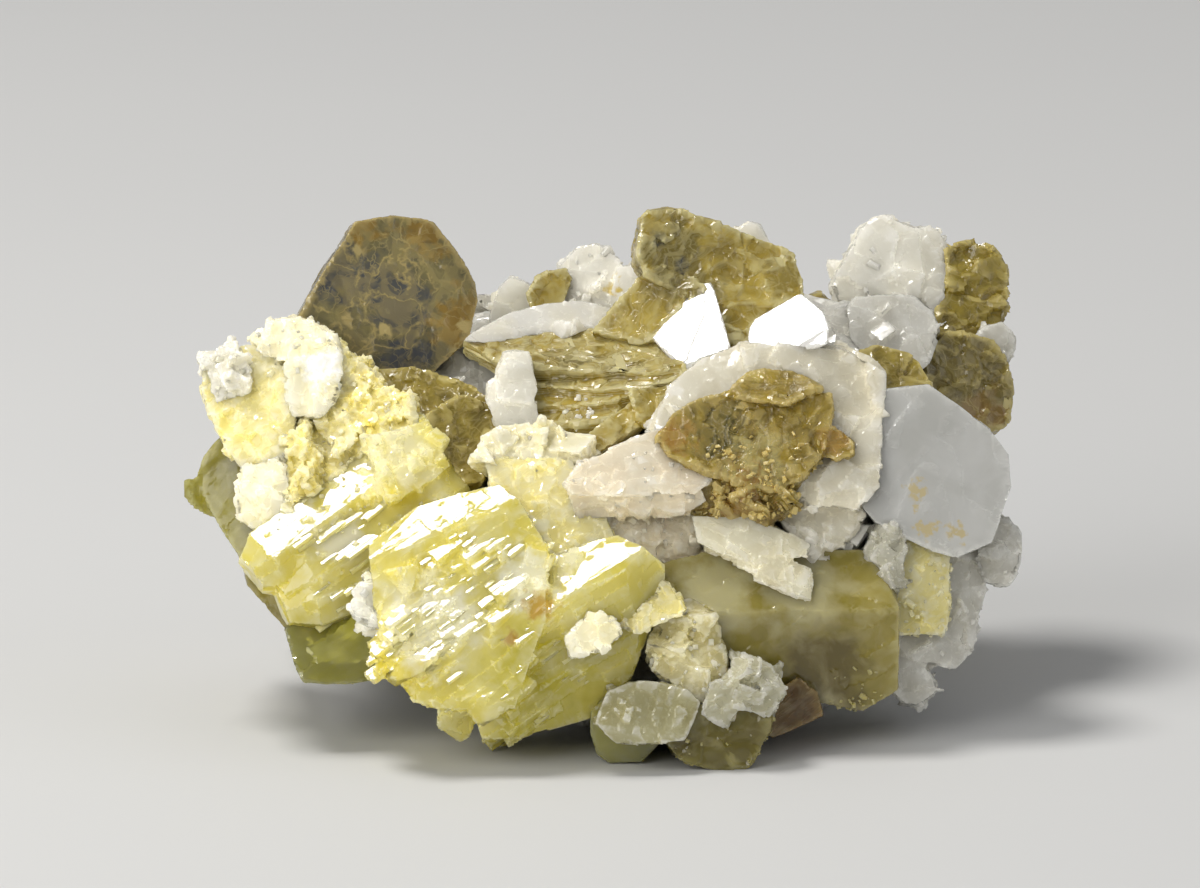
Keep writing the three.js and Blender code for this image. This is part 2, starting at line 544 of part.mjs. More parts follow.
// The pale masses at the upper left, under and beside the upright book
function upperLeft() {
  piece(
    "albite_upper_left_block",
    "albite",
    slab([[-21.5, 25.3], [-21, 26], [-18.9, 25.8], [-18.3, 25.3], [-18.2, 23.9], [-18.6, 22],
      [-19.7, 21.1], [-21.1, 21.1], [-21.6, 22.3]], [-20, 23.5, -7], [-0.1, 0.35], 6),
    slab([[-23.7, 25.5], [-23.5, 26.2], [-22.5, 27.2], [-21, 27.5], [-18.9, 26.5], [-18.3, 25.4],
      [-21, 24.6]], [-21, 26.3, -5], [0, 0.5], 5),
    ...crust([[-23.2, 25.9, -4.6], [-22.4, 26.6, -4.4], [-21.6, 26.8, -4.4]], 71, 0.9),
  );
  piece(
    "albite_corner_druse",
    "albite",
    slab([[-27.2, 24.7], [-26.6, 25], [-25.9, 25.4], [-25.1, 25], [-24.6, 24], [-25.6, 22.4],
      [-26.6, 22.1], [-27, 23.9]], [-26, 24, -5.4], [-0.3, 0.2], 5),
    ...crust([[-27, 24.6, -4.6], [-25.8, 25, -5], [-25.6, 23.6, -5.6], [-26.6, 22.4, -4.8]], 72, 1.1),
  );
  piece(
    "albite_left_face",
    "albite",
    slab([[-25.1, 14.8], [-24.5, 17.1], [-22.1, 17.8], [-21.7, 15], [-23.5, 12.9], [-25, 14.1]],
      [-23.3, 15.5, -8.6], [-0.25, 0.25], 5, 0.85),
  );
  piece(
    "brazilianite_upper_left",
    "brazilianite",
    slab([[-27.2, 24.2], [-25.2, 25.2], [-23.7, 25.4], [-21.6, 23.9], [-21.3, 20.6], [-22, 17.9],
      [-24.5, 17.2], [-25.2, 19.2], [-26.1, 19], [-26.8, 20.6], [-27.5, 22.8]], [-24, 21, -6.4],
      [-0.3, 0.35], 9, 0.8),
  );
  piece(
    "brazilianite_grainy_crust",
    "brazilianite",
    slab([[-21.9, 17.6], [-21.3, 20.7], [-19.6, 21.3], [-17.9, 22.1], [-15.5, 22.4], [-15.4, 19.4],
      [-18.9, 16.4], [-21.8, 14]], [-18.5, 19, -7.4], [-0.1, 0.6], 5),
    slab([[-16, 23.4], [-13.7, 20.7], [-11.9, 20.2], [-10.7, 17.6], [-11.9, 16.7], [-14, 17.1],
      [-15.6, 19.4]], [-13.5, 19, -8.2], [0.25, 0.6], 5),
    slab([[-18.4, 26], [-17.4, 24.8], [-15.6, 23.4], [-15.4, 21], [-18.6, 21.6]], [-17, 23.4, -6],
      [0.1, 0.6], 5),
    ...crust([...along([-20.2, 20.2, -7.2], [-16, 21.4, -6.4], 3, 0.4, 7),
      ...along([-20.6, 18.2, -8.2], [-15.4, 19.8, -7.6], 3, 0.4, 8),
      ...along([-20, 16.6, -8.8], [-13.6, 20.8, -7], 2, 0.3, 9)], 73, 1.5),
  );
}

// The worn muscovite book under the upright one
function lowerBook() {
  piece(
    "muscovite_lower_book",
    "muscovite",
    ...book([[-16, 23.9], [-13.3, 23.9], [-11.9, 23.6], [-10.8, 22.9], [-9.1, 22.7], [-7.7, 21.6],
      [-7.4, 20.4], [-11.9, 20], [-13.7, 20.7], [-15, 21.6]], [-11.5, 22, -4.8],
      [0.05, 0.8], 2, PACKET),
    ...book([[-11.9, 20.7], [-9.5, 22], [-7.7, 21.4], [-7, 19.9], [-7.9, 18.5], [-8.4, 16.4],
      [-11.2, 16.2], [-11.6, 18]], [-9.5, 19, -7.6], [0.3, 0.5], 2, PACKET),
  );
}

// The sheaf of muscovite leaves seen on edge, with the small albite prism before it
function fan() {
  piece(
    "albite_small_prism",
    "albite",
    slab([[-6.9, 24], [-6.5, 25], [-5.9, 25.1], [-5.2, 25.1], [-5, 24.2], [-4.9, 23.2], [-4.6, 22.7],
      [-4.9, 22], [-6.9, 22.3]], [-6, 22.5, -7], [0.1, 0.3], 5),
    slab([[-7.5, 23], [-6.8, 23.5], [-5, 22.6], [-4.7, 21.3], [-4.4, 20], [-7, 20], [-7.6, 22]],
      [-6, 21.5, -7], [0.1, 0.3], 5),
  );
  piece(
    "muscovite_fan",
    "muscovite",
    ...book([[-9.2, 25.9], [-7, 26.2], [-2.5, 25.8], [0, 26.7], [2.8, 26], [4.9, 25.5], [5.9, 23.9],
      [4, 23.7], [0, 23.9], [-4.5, 24.2], [-6.7, 24.4]], [0, 24, -5.2], [-0.1, 1.7], 2),
    ...book([[-4.8, 24], [-2, 24.6], [3, 24.6], [5.8, 24.2], [5.4, 23.3], [3.8, 22.9], [0, 22.6],
      [-4.6, 22.8]], [0, 23, -5.5], [-0.3, 1.7], 2),
    ...book([[-4.9, 23], [0, 23.6], [3.8, 23.6], [3, 22.4], [0, 21.6], [-4.7, 21.5]], [-1, 22, -5.8],
      [-0.35, 1.6], 1),
    ...book([[-4.8, 22], [0, 22.4], [2, 22], [0.6, 20.6], [-1.5, 20.2], [-4.5, 20.4]], [-2, 21, -6],
      [-0.35, 1.6], 1),
    slab([[-4.7, 23.9], [5.4, 24.4], [2.8, 22.5], [0, 20.2], [-1.8, 19.5], [-3.9, 20], [-4.7, 21.3]],
      [0, 22, -4.6], [0, 0.4], 6),
  );
}

// The two mirror-bright albite faces and the lilac blade behind the sheaf
function brightAlbite() {
  piece(
    "albite_bright_face",
    "albite",
    slab([[4, 26.3], [5.6, 27.9], [7.1, 29.8], [7.6, 29.9], [7.8, 29.5], [7.9, 27], [8.9, 25.5],
      [8.4, 25.1], [5.9, 23.9], [4.8, 25.6]], [7, 26.5, -4.2], GLOSS_SLOPE, 3.4),
  );
  piece(
    "albite_bright_block",
    "albite",
    slab([[10.6, 26.2], [10.7, 26.9], [11, 27.4], [12.3, 28.1], [13.7, 29], [14, 29.1], [15.4, 27.9],
      [15.7, 27], [15.6, 26], [14, 25.5], [11.9, 24.7], [11.2, 25.1], [10.7, 25.6]],
      [13, 27, -5], GLOSS_SLOPE, 4.4),
  );
  piece(
    "albite_lilac_blade",
    "albite",
    slab([[-9.1, 26.2], [-8.4, 26.7], [-7, 27.5], [-6.2, 27.9], [-3.9, 28.4], [-1.4, 28.7],
      [-0.8, 28.5], [0.5, 28.2], [0, 27.2], [-2.8, 26.3], [-3.9, 25.8], [-7, 25.8]], [-4, 27, -0.4],
      [0, 1.1], 3),
    ...crust([[-2.6, 26.8, -0.8], [-3.4, 26.5, -1], [-1.8, 26.9, -0.8]], 101, 0.7),
  );
}

// The arched muscovite book at the top, in three bent parts, and the albite tip behind it
function arch() {
  piece(
    "muscovite_arch",
    "muscovite",
    ...book([[-0.2, 26.8], [0.8, 27.7], [2.2, 29], [3.3, 30.7], [4.8, 31.5], [7.2, 29.7],
      [5.6, 27.9], [4, 26.3], [2.8, 26.1]], [3, 28.5, -1.8], [-0.2, 0.5], 2, PACKET),
    ...book([[3.2, 34.7], [3.6, 35.1], [4.8, 35.4], [6.7, 34.7], [9.5, 33.5], [9.8, 31.6],
      [7.2, 29.7], [4.8, 30], [3.4, 30.8], [2.9, 31.9], [2.9, 32.6], [3.1, 33.3]], [6, 32.5, -0.8],
      [0.25, 0.25], 2, PACKET),
    ...book([[9, 33.6], [10.5, 32.9], [12.8, 32.4], [13.3, 32], [13.9, 30.4], [14, 29], [12.3, 28.1],
      [11, 27.4], [10.4, 26], [9.3, 26], [8.1, 27.1], [7.2, 29.7]], [11, 30, -0.8],
      [0.1, 0.5], 2, PACKET),
  );
  piece(
    "albite_top_tip",
    "albite",
    slab([[9.6, 33.5], [10.2, 34], [10.6, 34.2], [11, 34.1], [11.3, 33.6], [11.7, 33], [12, 32.3],
      [11.2, 29], [9.4, 29]], [10.7, 32, 2.8], [0.1, 0.3], 3.4),
  );
}

// Crystals that stand behind the sheaf on the left
function behindLeft() {
  piece(
    "muscovite_upright_book",
    "muscovite",
    ...book([[-17, 34.2], [-14.6, 34.6], [-12.6, 34.4], [-11.8, 34.1], [-10, 31.8], [-9, 30.1],
      [-8.8, 29], [-9.5, 26.3], [-13.3, 22.6], [-16, 22.6], [-20.9, 27.6], [-18.9, 31.2]],
      [-14.5, 29, -1], [0.24, 0.12], 2, PACKET),
  );
  piece(
    "muscovite_back_blade",
    "muscovite",
    slab([[-4.7, 28.4], [-4.8, 29.5], [-4.2, 30.4], [-3.5, 30.8], [-2.5, 31], [-2.2, 30.5],
      [-3.1, 30.1], [-3.4, 29.5], [-3.6, 27], [-4.6, 27]], [-3.7, 29.5, 5], [0.2, 0.3], 1.6),
  );
  piece(
    "albite_rimmed_crystal",
    "albite",
    slab([[-7.4, 27.9], [-7.1, 29.1], [-6.8, 29.8], [-6.2, 30.4], [-5.5, 30.1], [-4.8, 29.7],
      [-4.7, 28.6], [-4.7, 26], [-7.4, 26]], [-6, 29, 5.4], [0, 0.2], 4),
  );
  piece(
    "albite_back_cluster",
    "albite",
    slab([[-2.5, 31.4], [-2, 31.8], [-1.4, 32.5], [-0.3, 32.8], [0.4, 32.3], [1.1, 31.6], [1.6, 31],
      [1.8, 29], [0.5, 26], [-2.8, 26], [-3.1, 30]], [-0.5, 30.5, 6.5], [0, 0.5], 5),
    slab([[1.4, 31.1], [2.5, 30.7], [3, 31.2], [3.4, 31.1], [2.8, 29], [2.2, 27], [0.5, 27]],
      [2.2, 30, 6], [0, 0.3], 4),
    slab([[-4.2, 29.4], [-3, 30.3], [-2.2, 31], [-1.5, 29], [-2, 26], [-4, 26]], [-3, 29, 7],
      [0, 0.3], 3),
    slab([[-9.2, 28.4], [-7.7, 28.3], [-7.2, 27.9], [-4, 27.5], [-3, 25], [-9.6, 25]], [-6, 27, 4],
      [0, 0.5], 7),
  );
}

// Albite and muscovite at the upper right, set well back
function upperRight() {
  piece(
    "muscovite_right_wedge",
    "muscovite",
    ...book([[15.6, 28.1], [17.1, 28.8], [17.7, 28.5], [17.4, 27], [19.1, 26.5], [19, 25.7],
      [17.5, 25], [16.5, 25.4], [15.8, 26.5]], [17, 27, -1.5], [0.2, 0.4], 2, PACKET),
    ...book([[17.6, 25], [19.3, 25.5], [21.4, 25], [22.1, 24.4], [22.8, 23], [20.7, 22.3],
      [19.7, 22.7], [19.1, 24.2]], [20.5, 24.3, -2.8], [0.1, 0.9], 2, PACKET),
  );
  piece(
    "albite_grey_block",
    "albite",
    slab([[17.6, 28.3], [18.1, 29], [19.6, 29.1], [22, 29], [23.1, 28.1], [23.5, 26.9], [22.8, 24.9],
      [22.2, 24.3], [21.4, 24.6], [20.3, 24.9], [18.9, 25.2], [17.8, 26.4]], [20.5, 27, 3.4],
      [0.1, 0.5], 6),
    slab([[19.3, 26.7], [20.1, 27.2], [20.5, 26.9], [19.7, 26.3]], [20, 26.8, 2.7], GLOSS_SLOPE, 2),
  );
  piece(
    "albite_upper_right",
    "albite",
    slab([[16.6, 30], [17.2, 31.1], [17.7, 31.9], [18.2, 33], [18.6, 33.9], [19.5, 34.5],
      [20.3, 34.6], [21, 34.2], [22.2, 33.7], [22.6, 31], [22, 27], [17.5, 27]], [19.8, 31.5, 9],
      [0.1, 0.35], 7),
    slab([[22, 33.7], [23.8, 33.8], [24, 33.2], [24.4, 32.5], [24.3, 30.5], [23.4, 27], [21.5, 27]],
      [23, 31.5, 9.6], [0.2, 0.3], 6),
    slab([[13.9, 30.4], [14.4, 30.7], [16, 30.5], [16.8, 29.2], [16.8, 26], [14, 26]], [15, 29.5, 4],
      [0.1, 0.4], 7),
  );
  piece(
    "albite_right_tip",
    "albite",
    slab([[26.6, 26.2], [27.3, 26.9], [28.2, 27.2], [28.4, 26.4], [29, 26.3], [28.9, 25.6],
      [28.4, 24.9], [26.6, 25]], [28, 26, 7.4], [0.1, 0.1], 2.4),
  );
  piece(
    "muscovite_upper_right_book",
    "muscovite",
    ...book([[24.4, 32.3], [25.2, 32.8], [25.8, 33], [27.3, 32.6], [28, 32], [28.5, 31.2],
      [28.3, 29.7], [28.5, 29], [28.2, 27.6], [27, 26], [23.8, 25.5], [23.2, 29]], [26, 29.5, 9.5],
      [0.2, 0.3], 2, 1.9),
  );
  piece(
    "muscovite_right_lobe",
    "muscovite",
    ...book([[22.8, 24.8], [24.5, 26.5], [27.5, 26], [28.1, 24.9], [28.8, 23], [28.8, 22],
      [28.6, 20.9], [28.2, 20.2], [27.3, 20], [25.9, 20.6], [24.4, 22], [22.8, 22.8]],
      [26, 23.5, 4.6], [0.35, 0.2], 2, 2.4),
  );
}

// A block for the back of the cluster, drawn across and upright: its place also says how far back
// it reaches, and it runs towards the front from there
function rearSlab(outline, place, slope, thick, taper = 1) {
  const { corners } = slab(outline, place, slope, -thick, taper);
  return blockOf(corners.map(([x, z, y]) => placed([x, y, z])), null);
}

// The back: albite blades, a muscovite book and brazilianite prisms round the same matrix
function back() {
  piece(
    "albite_back_blades",
    "albite",
    rearSlab([[-13, 8], [-14, 18], [-9, 25], [-3, 26.5], [1, 22], [0, 12], [-6, 6]], [-6, 16, 21.5],
      [-0.1, -0.3], 5),
    rearSlab([[-3, 14], [-2, 22], [3, 26], [8, 25], [9, 18], [5, 12]], [3, 20, 20.5], [0.15, -0.35], 6),
    rearSlab([[-10, 3], [-12, 10], [-6, 13], [0, 10], [-1, 3], [-6, 1]], [-6, 7, 22], [-0.1, 0.25], 5),
  );
  piece(
    "brazilianite_back",
    "brazilianite",
    rearSlab([[4, 2.5], [3.5, 9], [7, 13.5], [14, 13.5], [17, 9], [16, 3], [10, 1.5]], [10, 8, 22],
      [0.1, 0.1], 6, 0.9),
    rearSlab([[14, 4], [14, 10], [18, 14], [22.5, 12], [22, 5], [18, 2.5]], [18, 8, 18],
      [0.6, 0.1], 6, 0.9),
  );
  piece(
    "muscovite_back_book",
    "muscovite",
    ...[0, 1, 2].map((k) =>
      rearSlab([[9, 13], [8.5, 19], [11, 24], [15.5, 25.4], [19, 22], [20, 16], [17, 12],
        [12, 11]] .map(([x, z]) => [x + 0.25 * k, z - 0.3 * k]), [14, 18, 21 - k * LEAF],
        [0.25, -0.2], LEAF * LEAF_LAP)),
  );
  piece(
    "albite_right_side",
    "albite",
    rearSlab([[18, 8], [18, 18], [21, 23], [24.5, 20], [25, 12], [22, 7]], [22, 15, 14], [0.9, 0.1], 5),
    rearSlab([[19, 6], [19, 16], [24, 18], [26, 11], [23, 6]], [22, 12, 6], [0.6, 0.2], 5),
  );
  piece(
    "albite_left_side",
    "albite",
    rearSlab([[-22, 6], [-24, 13], [-21, 20], [-15, 21], [-13, 14], [-16, 6]], [-19, 13, 16],
      [-0.7, -0.2], 6),
    rearSlab([[-22, 16], [-22.5, 22], [-17, 25], [-12, 24], [-12, 17]], [-17, 21, 14], [-0.5, -0.4], 7),
  );
  piece(
    "brazilianite_left_side",
    "brazilianite",
    rearSlab([[-20, 4], [-25, 9], [-26, 14], [-22, 18], [-18, 14], [-17, 7]], [-22, 11, 7],
      [-0.8, 0.1], 8, 0.85),
  );
}

matrix();
frontBrazilianite();
leftBrazilianite();
frontChips();
lowerCrystals();
rightBrazilianite();
middleOfFront();
frontMuscovite();
rightPlates();
upperLeft();
lowerBook();
fan();
brightAlbite();
arch();
behindLeft();
upperRight();
back();

// The pieces as solids: each body is cut clear of those before it, and its grains of all the others
function modelled() {
  const done = [];
  for (const { name, mineral, blocks } of pieces) {
    const solid = largestBody(cutClear(solidOf(blocks, ["body", "leaf"]), done));
    done.push({ name, mineral, blocks, solid, clearance: clearanceOf(blocks) });
  }
  for (const made of done) {
    if (!made.blocks.some(({ role }) => role === "grain")) continue;
    const grains = cutClear(solidOf(made.blocks, ["grain"]), done.filter((other) => other !== made));
    made.solid = largestBody(made.solid.add(grains));
  }
  return done;
}

function meshOf({ name, mineral, solid }) {
  const { numProp, numVert, vertProperties, triVerts } = solid.getMesh();
  const position = new Float32Array(numVert * 3);
  for (let i = 0; i < numVert; i += 1) {
    position.set(vertProperties.subarray(i * numProp, i * numProp + 3), i * 3);
  }
  const geometry = new THREE.BufferGeometry();
  geometry.setAttribute("position", new THREE.BufferAttribute(position, 3));
  geometry.setIndex(new THREE.BufferAttribute(new Uint32Array(triVerts), 1));
  geometry.computeVertexNormals();
  const material = new THREE.MeshStandardMaterial(FINISH[mineral]);
  const mesh = new THREE.Mesh(geometry, material);
  mesh.name = name;
  return mesh;
}

const group = new THREE.Group();
for (const made of modelled()) group.add(meshOf(made));

export default group;
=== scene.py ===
"""A brazilianite crystal cluster with albite and muscovite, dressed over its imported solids.

Sizes in the classes are millimetres in the part's own frame, and Blender's unit is the metre. A place
in the front view is given as across and up, as the part's source gives it.
"""

import logging
import math
from dataclasses import dataclass, replace
from enum import Enum
from typing import Any, Iterable, Optional, Sequence

import bmesh
import bpy
import numpy as np
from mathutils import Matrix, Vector
from mathutils.bvhtree import BVHTree


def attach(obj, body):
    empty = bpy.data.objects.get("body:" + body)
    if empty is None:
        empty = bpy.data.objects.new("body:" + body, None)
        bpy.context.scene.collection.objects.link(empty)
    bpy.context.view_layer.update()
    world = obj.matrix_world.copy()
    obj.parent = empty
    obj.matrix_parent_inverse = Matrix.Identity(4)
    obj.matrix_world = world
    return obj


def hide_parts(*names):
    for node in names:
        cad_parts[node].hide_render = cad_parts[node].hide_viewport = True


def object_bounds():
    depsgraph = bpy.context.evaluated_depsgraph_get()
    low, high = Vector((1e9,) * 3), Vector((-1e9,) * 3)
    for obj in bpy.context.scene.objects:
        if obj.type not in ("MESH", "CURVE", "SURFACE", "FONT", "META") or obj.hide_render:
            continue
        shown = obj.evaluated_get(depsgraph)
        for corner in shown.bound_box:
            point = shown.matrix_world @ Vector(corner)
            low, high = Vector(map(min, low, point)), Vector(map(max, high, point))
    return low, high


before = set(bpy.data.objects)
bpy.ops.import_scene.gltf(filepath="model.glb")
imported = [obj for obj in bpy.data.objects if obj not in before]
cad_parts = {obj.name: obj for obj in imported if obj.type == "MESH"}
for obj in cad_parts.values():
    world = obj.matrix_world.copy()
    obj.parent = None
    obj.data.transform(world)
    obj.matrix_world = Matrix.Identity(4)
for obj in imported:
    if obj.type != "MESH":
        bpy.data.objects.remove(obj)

LOG = logging.getLogger("cluster")
CAD_BOX = [list(corner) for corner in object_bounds()]

MM = 0.001
VIEW_TILT = math.radians(14)
# The long axis of the parallel brazilianite crystals: across, up, away
GROWTH_AXIS = (0.81, 0.586, 0.229)
# The slopes of the faces that all the parallel crystals share: across and up
GLOSS_SLOPE = (-0.31, 0.82)
# How far a visible surface stands out of its solid, so that neighbours meet
GROW = 0.27
# The share of an even mesh's triangles that are kept where they matter most
KEPT = 0.42
# A face under this area, in square millimetres, counts less when its solid grows
SMALL_FACE = 1.0
# The furthest that a corner moves when its solid grows, in times the way of its faces
CORNER_REACH = 2
# The fewest points in the outline of a leaf
FEWEST_POINTS = 12
# Added to a length that is divided by, because it could be nothing, and to an area likewise
TINY = 1e-9
FLAT = 1e-12
# How much a corner resists when its solid grows, so that flat corners stay near their place
STIFFNESS = 1e-3
# The nearest that a cut lies to a corner, in millimetres
NEAREST = 1e-7

Color = tuple[float, float, float]
Direction = tuple[float, float, float]
Place = tuple[float, float]
Points = np.ndarray


def world_of(across_up_away: Points) -> Points:
    """Turns places or directions of the front view into the part's frame.

    Args:
        across_up_away: An array whose last axis holds across, up and away.

    Returns:
        The same array as x, y and z.
    """
    across, up, away = np.moveaxis(np.asarray(across_up_away, float), -1, 0)
    sin, cos = math.sin(VIEW_TILT), math.cos(VIEW_TILT)
    return np.stack([across, up * sin + away * cos, up * cos - away * sin], -1)


def view_of(points: Points) -> Points:
    """Turns points of the part's frame into places of the front view, which is `world_of` undone."""
    x, y, z = np.moveaxis(np.asarray(points, float), -1, 0)
    sin, cos = math.sin(VIEW_TILT), math.cos(VIEW_TILT)
    return np.stack([x, y * sin + z * cos, y * cos - z * sin], -1)


def face_normal(slope: Place) -> Points:
    """The unit normal towards the viewer of a face with these slopes, in the part's frame."""
    normal = world_of(np.array([slope[0], slope[1], -1.0]))
    return normal / np.linalg.norm(normal)


GROWTH = world_of(np.array(GROWTH_AXIS))
GROWTH /= np.linalg.norm(GROWTH)
GLOSS = face_normal(GLOSS_SLOPE)


def seed_of(name: str) -> int:
    """A whole number for a name, the same on every run."""
    return sum((place + 1) * ord(letter) for place, letter in enumerate(name))


class Noise:
    """Smooth and grainy noise in space that is the same on every run."""

    LAYERS = 3
    LAYERS_REACH = 1.6
    LAYER_SHIFT = 17.3
    BEND_SHIFT = 31
    SHARPNESS = 6
    LEVEL_SALT = 7
    TILT_SALT = 11

    def __init__(self, seed: int) -> None:
        """Keeps the seed, which can be any whole number and picks the pattern."""
        self.seed = seed

    def cell(self, cells: Points, salt: int = 0) -> Points:
        """A number from 0 to 1 for each whole-numbered cell.

        Args:
            cells: An array whose last axis holds the three cell numbers.
            salt: Picks another set of numbers for the same cells.

        Returns:
            An array without that last axis.
        """
        c = cells.astype(np.int64).astype(np.uint32)
        start = np.uint32((self.seed * 2654435761 + salt * 40503) & 0xFFFFFFFF)
        h = c[..., 0] * np.uint32(374761393) + c[..., 1] * np.uint32(668265263)
        h = h + c[..., 2] * np.uint32(2246822519) + start
        h = (h ^ (h >> np.uint32(13))) * np.uint32(1274126177)
        h = h ^ (h >> np.uint32(16))
        return h.astype(float) / 0xFFFFFFFF

    def smooth(self, points: Points, size: float) -> Points:
        """Smooth noise from -1 to 1 with bumps of about a given size."""
        scaled = points / size
        low = np.floor(scaled)
        t = scaled - low
        t = t * t * (3 - 2 * t)
        total = np.zeros(len(points))
        for corner in np.ndindex(2, 2, 2):
            weight = np.prod(np.where(np.array(corner) == 1, t, 1 - t), axis=1)
            total += weight * self.cell(low + np.array(corner))
        return total * 2 - 1

    def rough(self, points: Points, size: float) -> Points:
        """Smooth noise with finer noise on it, from about -1 to 1."""
        total = np.zeros(len(points))
        for k in range(self.LAYERS):
            total += self.smooth(points + self.LAYER_SHIFT * k, size / 2**k) / 2**k
        return total / self.LAYERS_REACH

    def creases(self, points: Points, size: float) -> Points:
        """Thin ridges that wander, from 0 to 1."""
        bends = [self.smooth(points + self.BEND_SHIFT * k, size) for k in range(3)]
        bent = points + np.stack(bends, 1) * size * 0.5
        return (1 - np.abs(self.smooth(bent, size))) ** self.SHARPNESS

    def unit(self, cells: Points, salt: int) -> Points:
        """A direction for each cell."""
        v = np.stack([self.cell(cells, salt + k) - 0.5 for k in range(3)], -1)
        return v / (np.linalg.norm(v, axis=-1, keepdims=True) + TINY)

    def shards(self, points: Points, size: float) -> Points:
        """Flat facets, each at its own level and tilt, from about -1 to 1.

        Args:
            points: Where to take the noise.
            size: The distance between facets.

        Returns:
            The height at each point.
        """
        scaled = points / size
        low = np.floor(scaled)
        best = np.full(len(points), np.inf)
        height = np.zeros(len(points))
        for step in np.ndindex(3, 3, 3):
            cells = low + np.array(step) - 1
            seat = cells + np.stack([self.cell(cells, k) for k in range(3)], -1)
            away = scaled - seat
            far = np.linalg.norm(away, axis=1)
            level = np.sum(away * self.unit(cells, self.TILT_SALT), -1)
            level += self.cell(cells, self.LEVEL_SALT) - 0.5
            height = np.where(far < best, level, height)
            best = np.minimum(best, far)
        return height


@dataclass(frozen=True)
class Relief:
    """How a surface stands in and out of its solid. A depth of 0 leaves that kind of relief out."""

    SMOOTH_FROM = 0.97
    SMOOTH_SHARE = 0.3
    BEND = 0.35
    BEND_SIZE = 4.0
    FINE_SIZE = 0.4
    LEVELS = 3
    START_SALT = 5
    STEP_SALT = 6
    FINE_SHIFT = 90
    TERRACE_SHIFT = 50

    steps: float = 0.0
    step_size: float = 0.9
    step_length: float = 5.0
    axis: Direction = GROWTH_AXIS
    lumps: float = 0.04
    lump_size: float = 2.5
    shards: float = 0.0
    shard_size: float = 1.4
    fine: float = 0.25
    creases: float = 0.0
    crease_size: float = 2.2
    terraces: float = 0.0
    terrace_size: float = 3.0

    def height(self, points: Points, normals: Points, seed: int) -> Points:
        """The height over the solid's own surface.

        Args:
            points: Points of the surface, in millimetres.
            normals: The unit normal at each point.
            seed: Picks the pattern.

        Returns:
            The height at each point, in millimetres.
        """
        noise = Noise(seed)
        smooth_face = normals @ GLOSS > self.SMOOTH_FROM
        height = self.lumps * noise.rough(points, self.lump_size)
        if self.steps:
            axis = world_of(np.array(self.axis))
            across = np.cross(axis, normals)
            across /= np.linalg.norm(across, axis=1, keepdims=True) + TINY
            bend = self.BEND * noise.smooth(points, self.BEND_SIZE)
            strip = np.floor(np.sum(points * across, 1) / self.step_size + bend)
            face = np.round(normals * 2).sum(1)
            start = noise.cell(np.stack([strip, face, face], 1), self.START_SALT) * 3
            piece = np.floor(points @ axis / self.step_length + start)
            height += self.steps * (noise.cell(np.stack([strip, piece, face], 1), self.STEP_SALT) - 0.6)
        if self.shards:
            height += self.shards * noise.shards(points, self.shard_size)
            fine = noise.shards(points + self.FINE_SHIFT, self.shard_size * self.FINE_SIZE)
            height += self.shards * self.fine * fine
        if self.creases:
            height += self.creases * noise.creases(points, self.crease_size)
        if self.terraces:
            level = noise.rough(points + self.TERRACE_SHIFT, self.terrace_size)
            height += self.terraces * np.round(level * self.LEVELS) / self.LEVELS
        return np.where(smooth_face, height * self.SMOOTH_SHARE, height)


class Habit(Enum):
    """The shapes that small crystals take: sides, length, width, bluntness and slant of the tip."""

    BLOCK = (4, 0.9, 0.8, 0.75, 0.2)
    BLADE = (4, 1.2, 0.32, 0.8, 0.35)
    LATH = (4, 2.2, 0.6, 0.8, 0.3)


@dataclass(frozen=True)
class Druse:
    """Small crystals strewn over part of a surface, all round it or about a place in the front view.

    They stand up from it, or point along one direction with a side level with one slope.
    """

    count: int
    size: Place = (0.3, 0.8)
    habit: Habit = Habit.BLOCK
    centre: Optional[Place] = None
    reach: float = 99.0
    along: Optional[Direction] = None
    level: Place = GLOSS_SLOPE
    spread: float = 0.45
    stand: float = 0.0


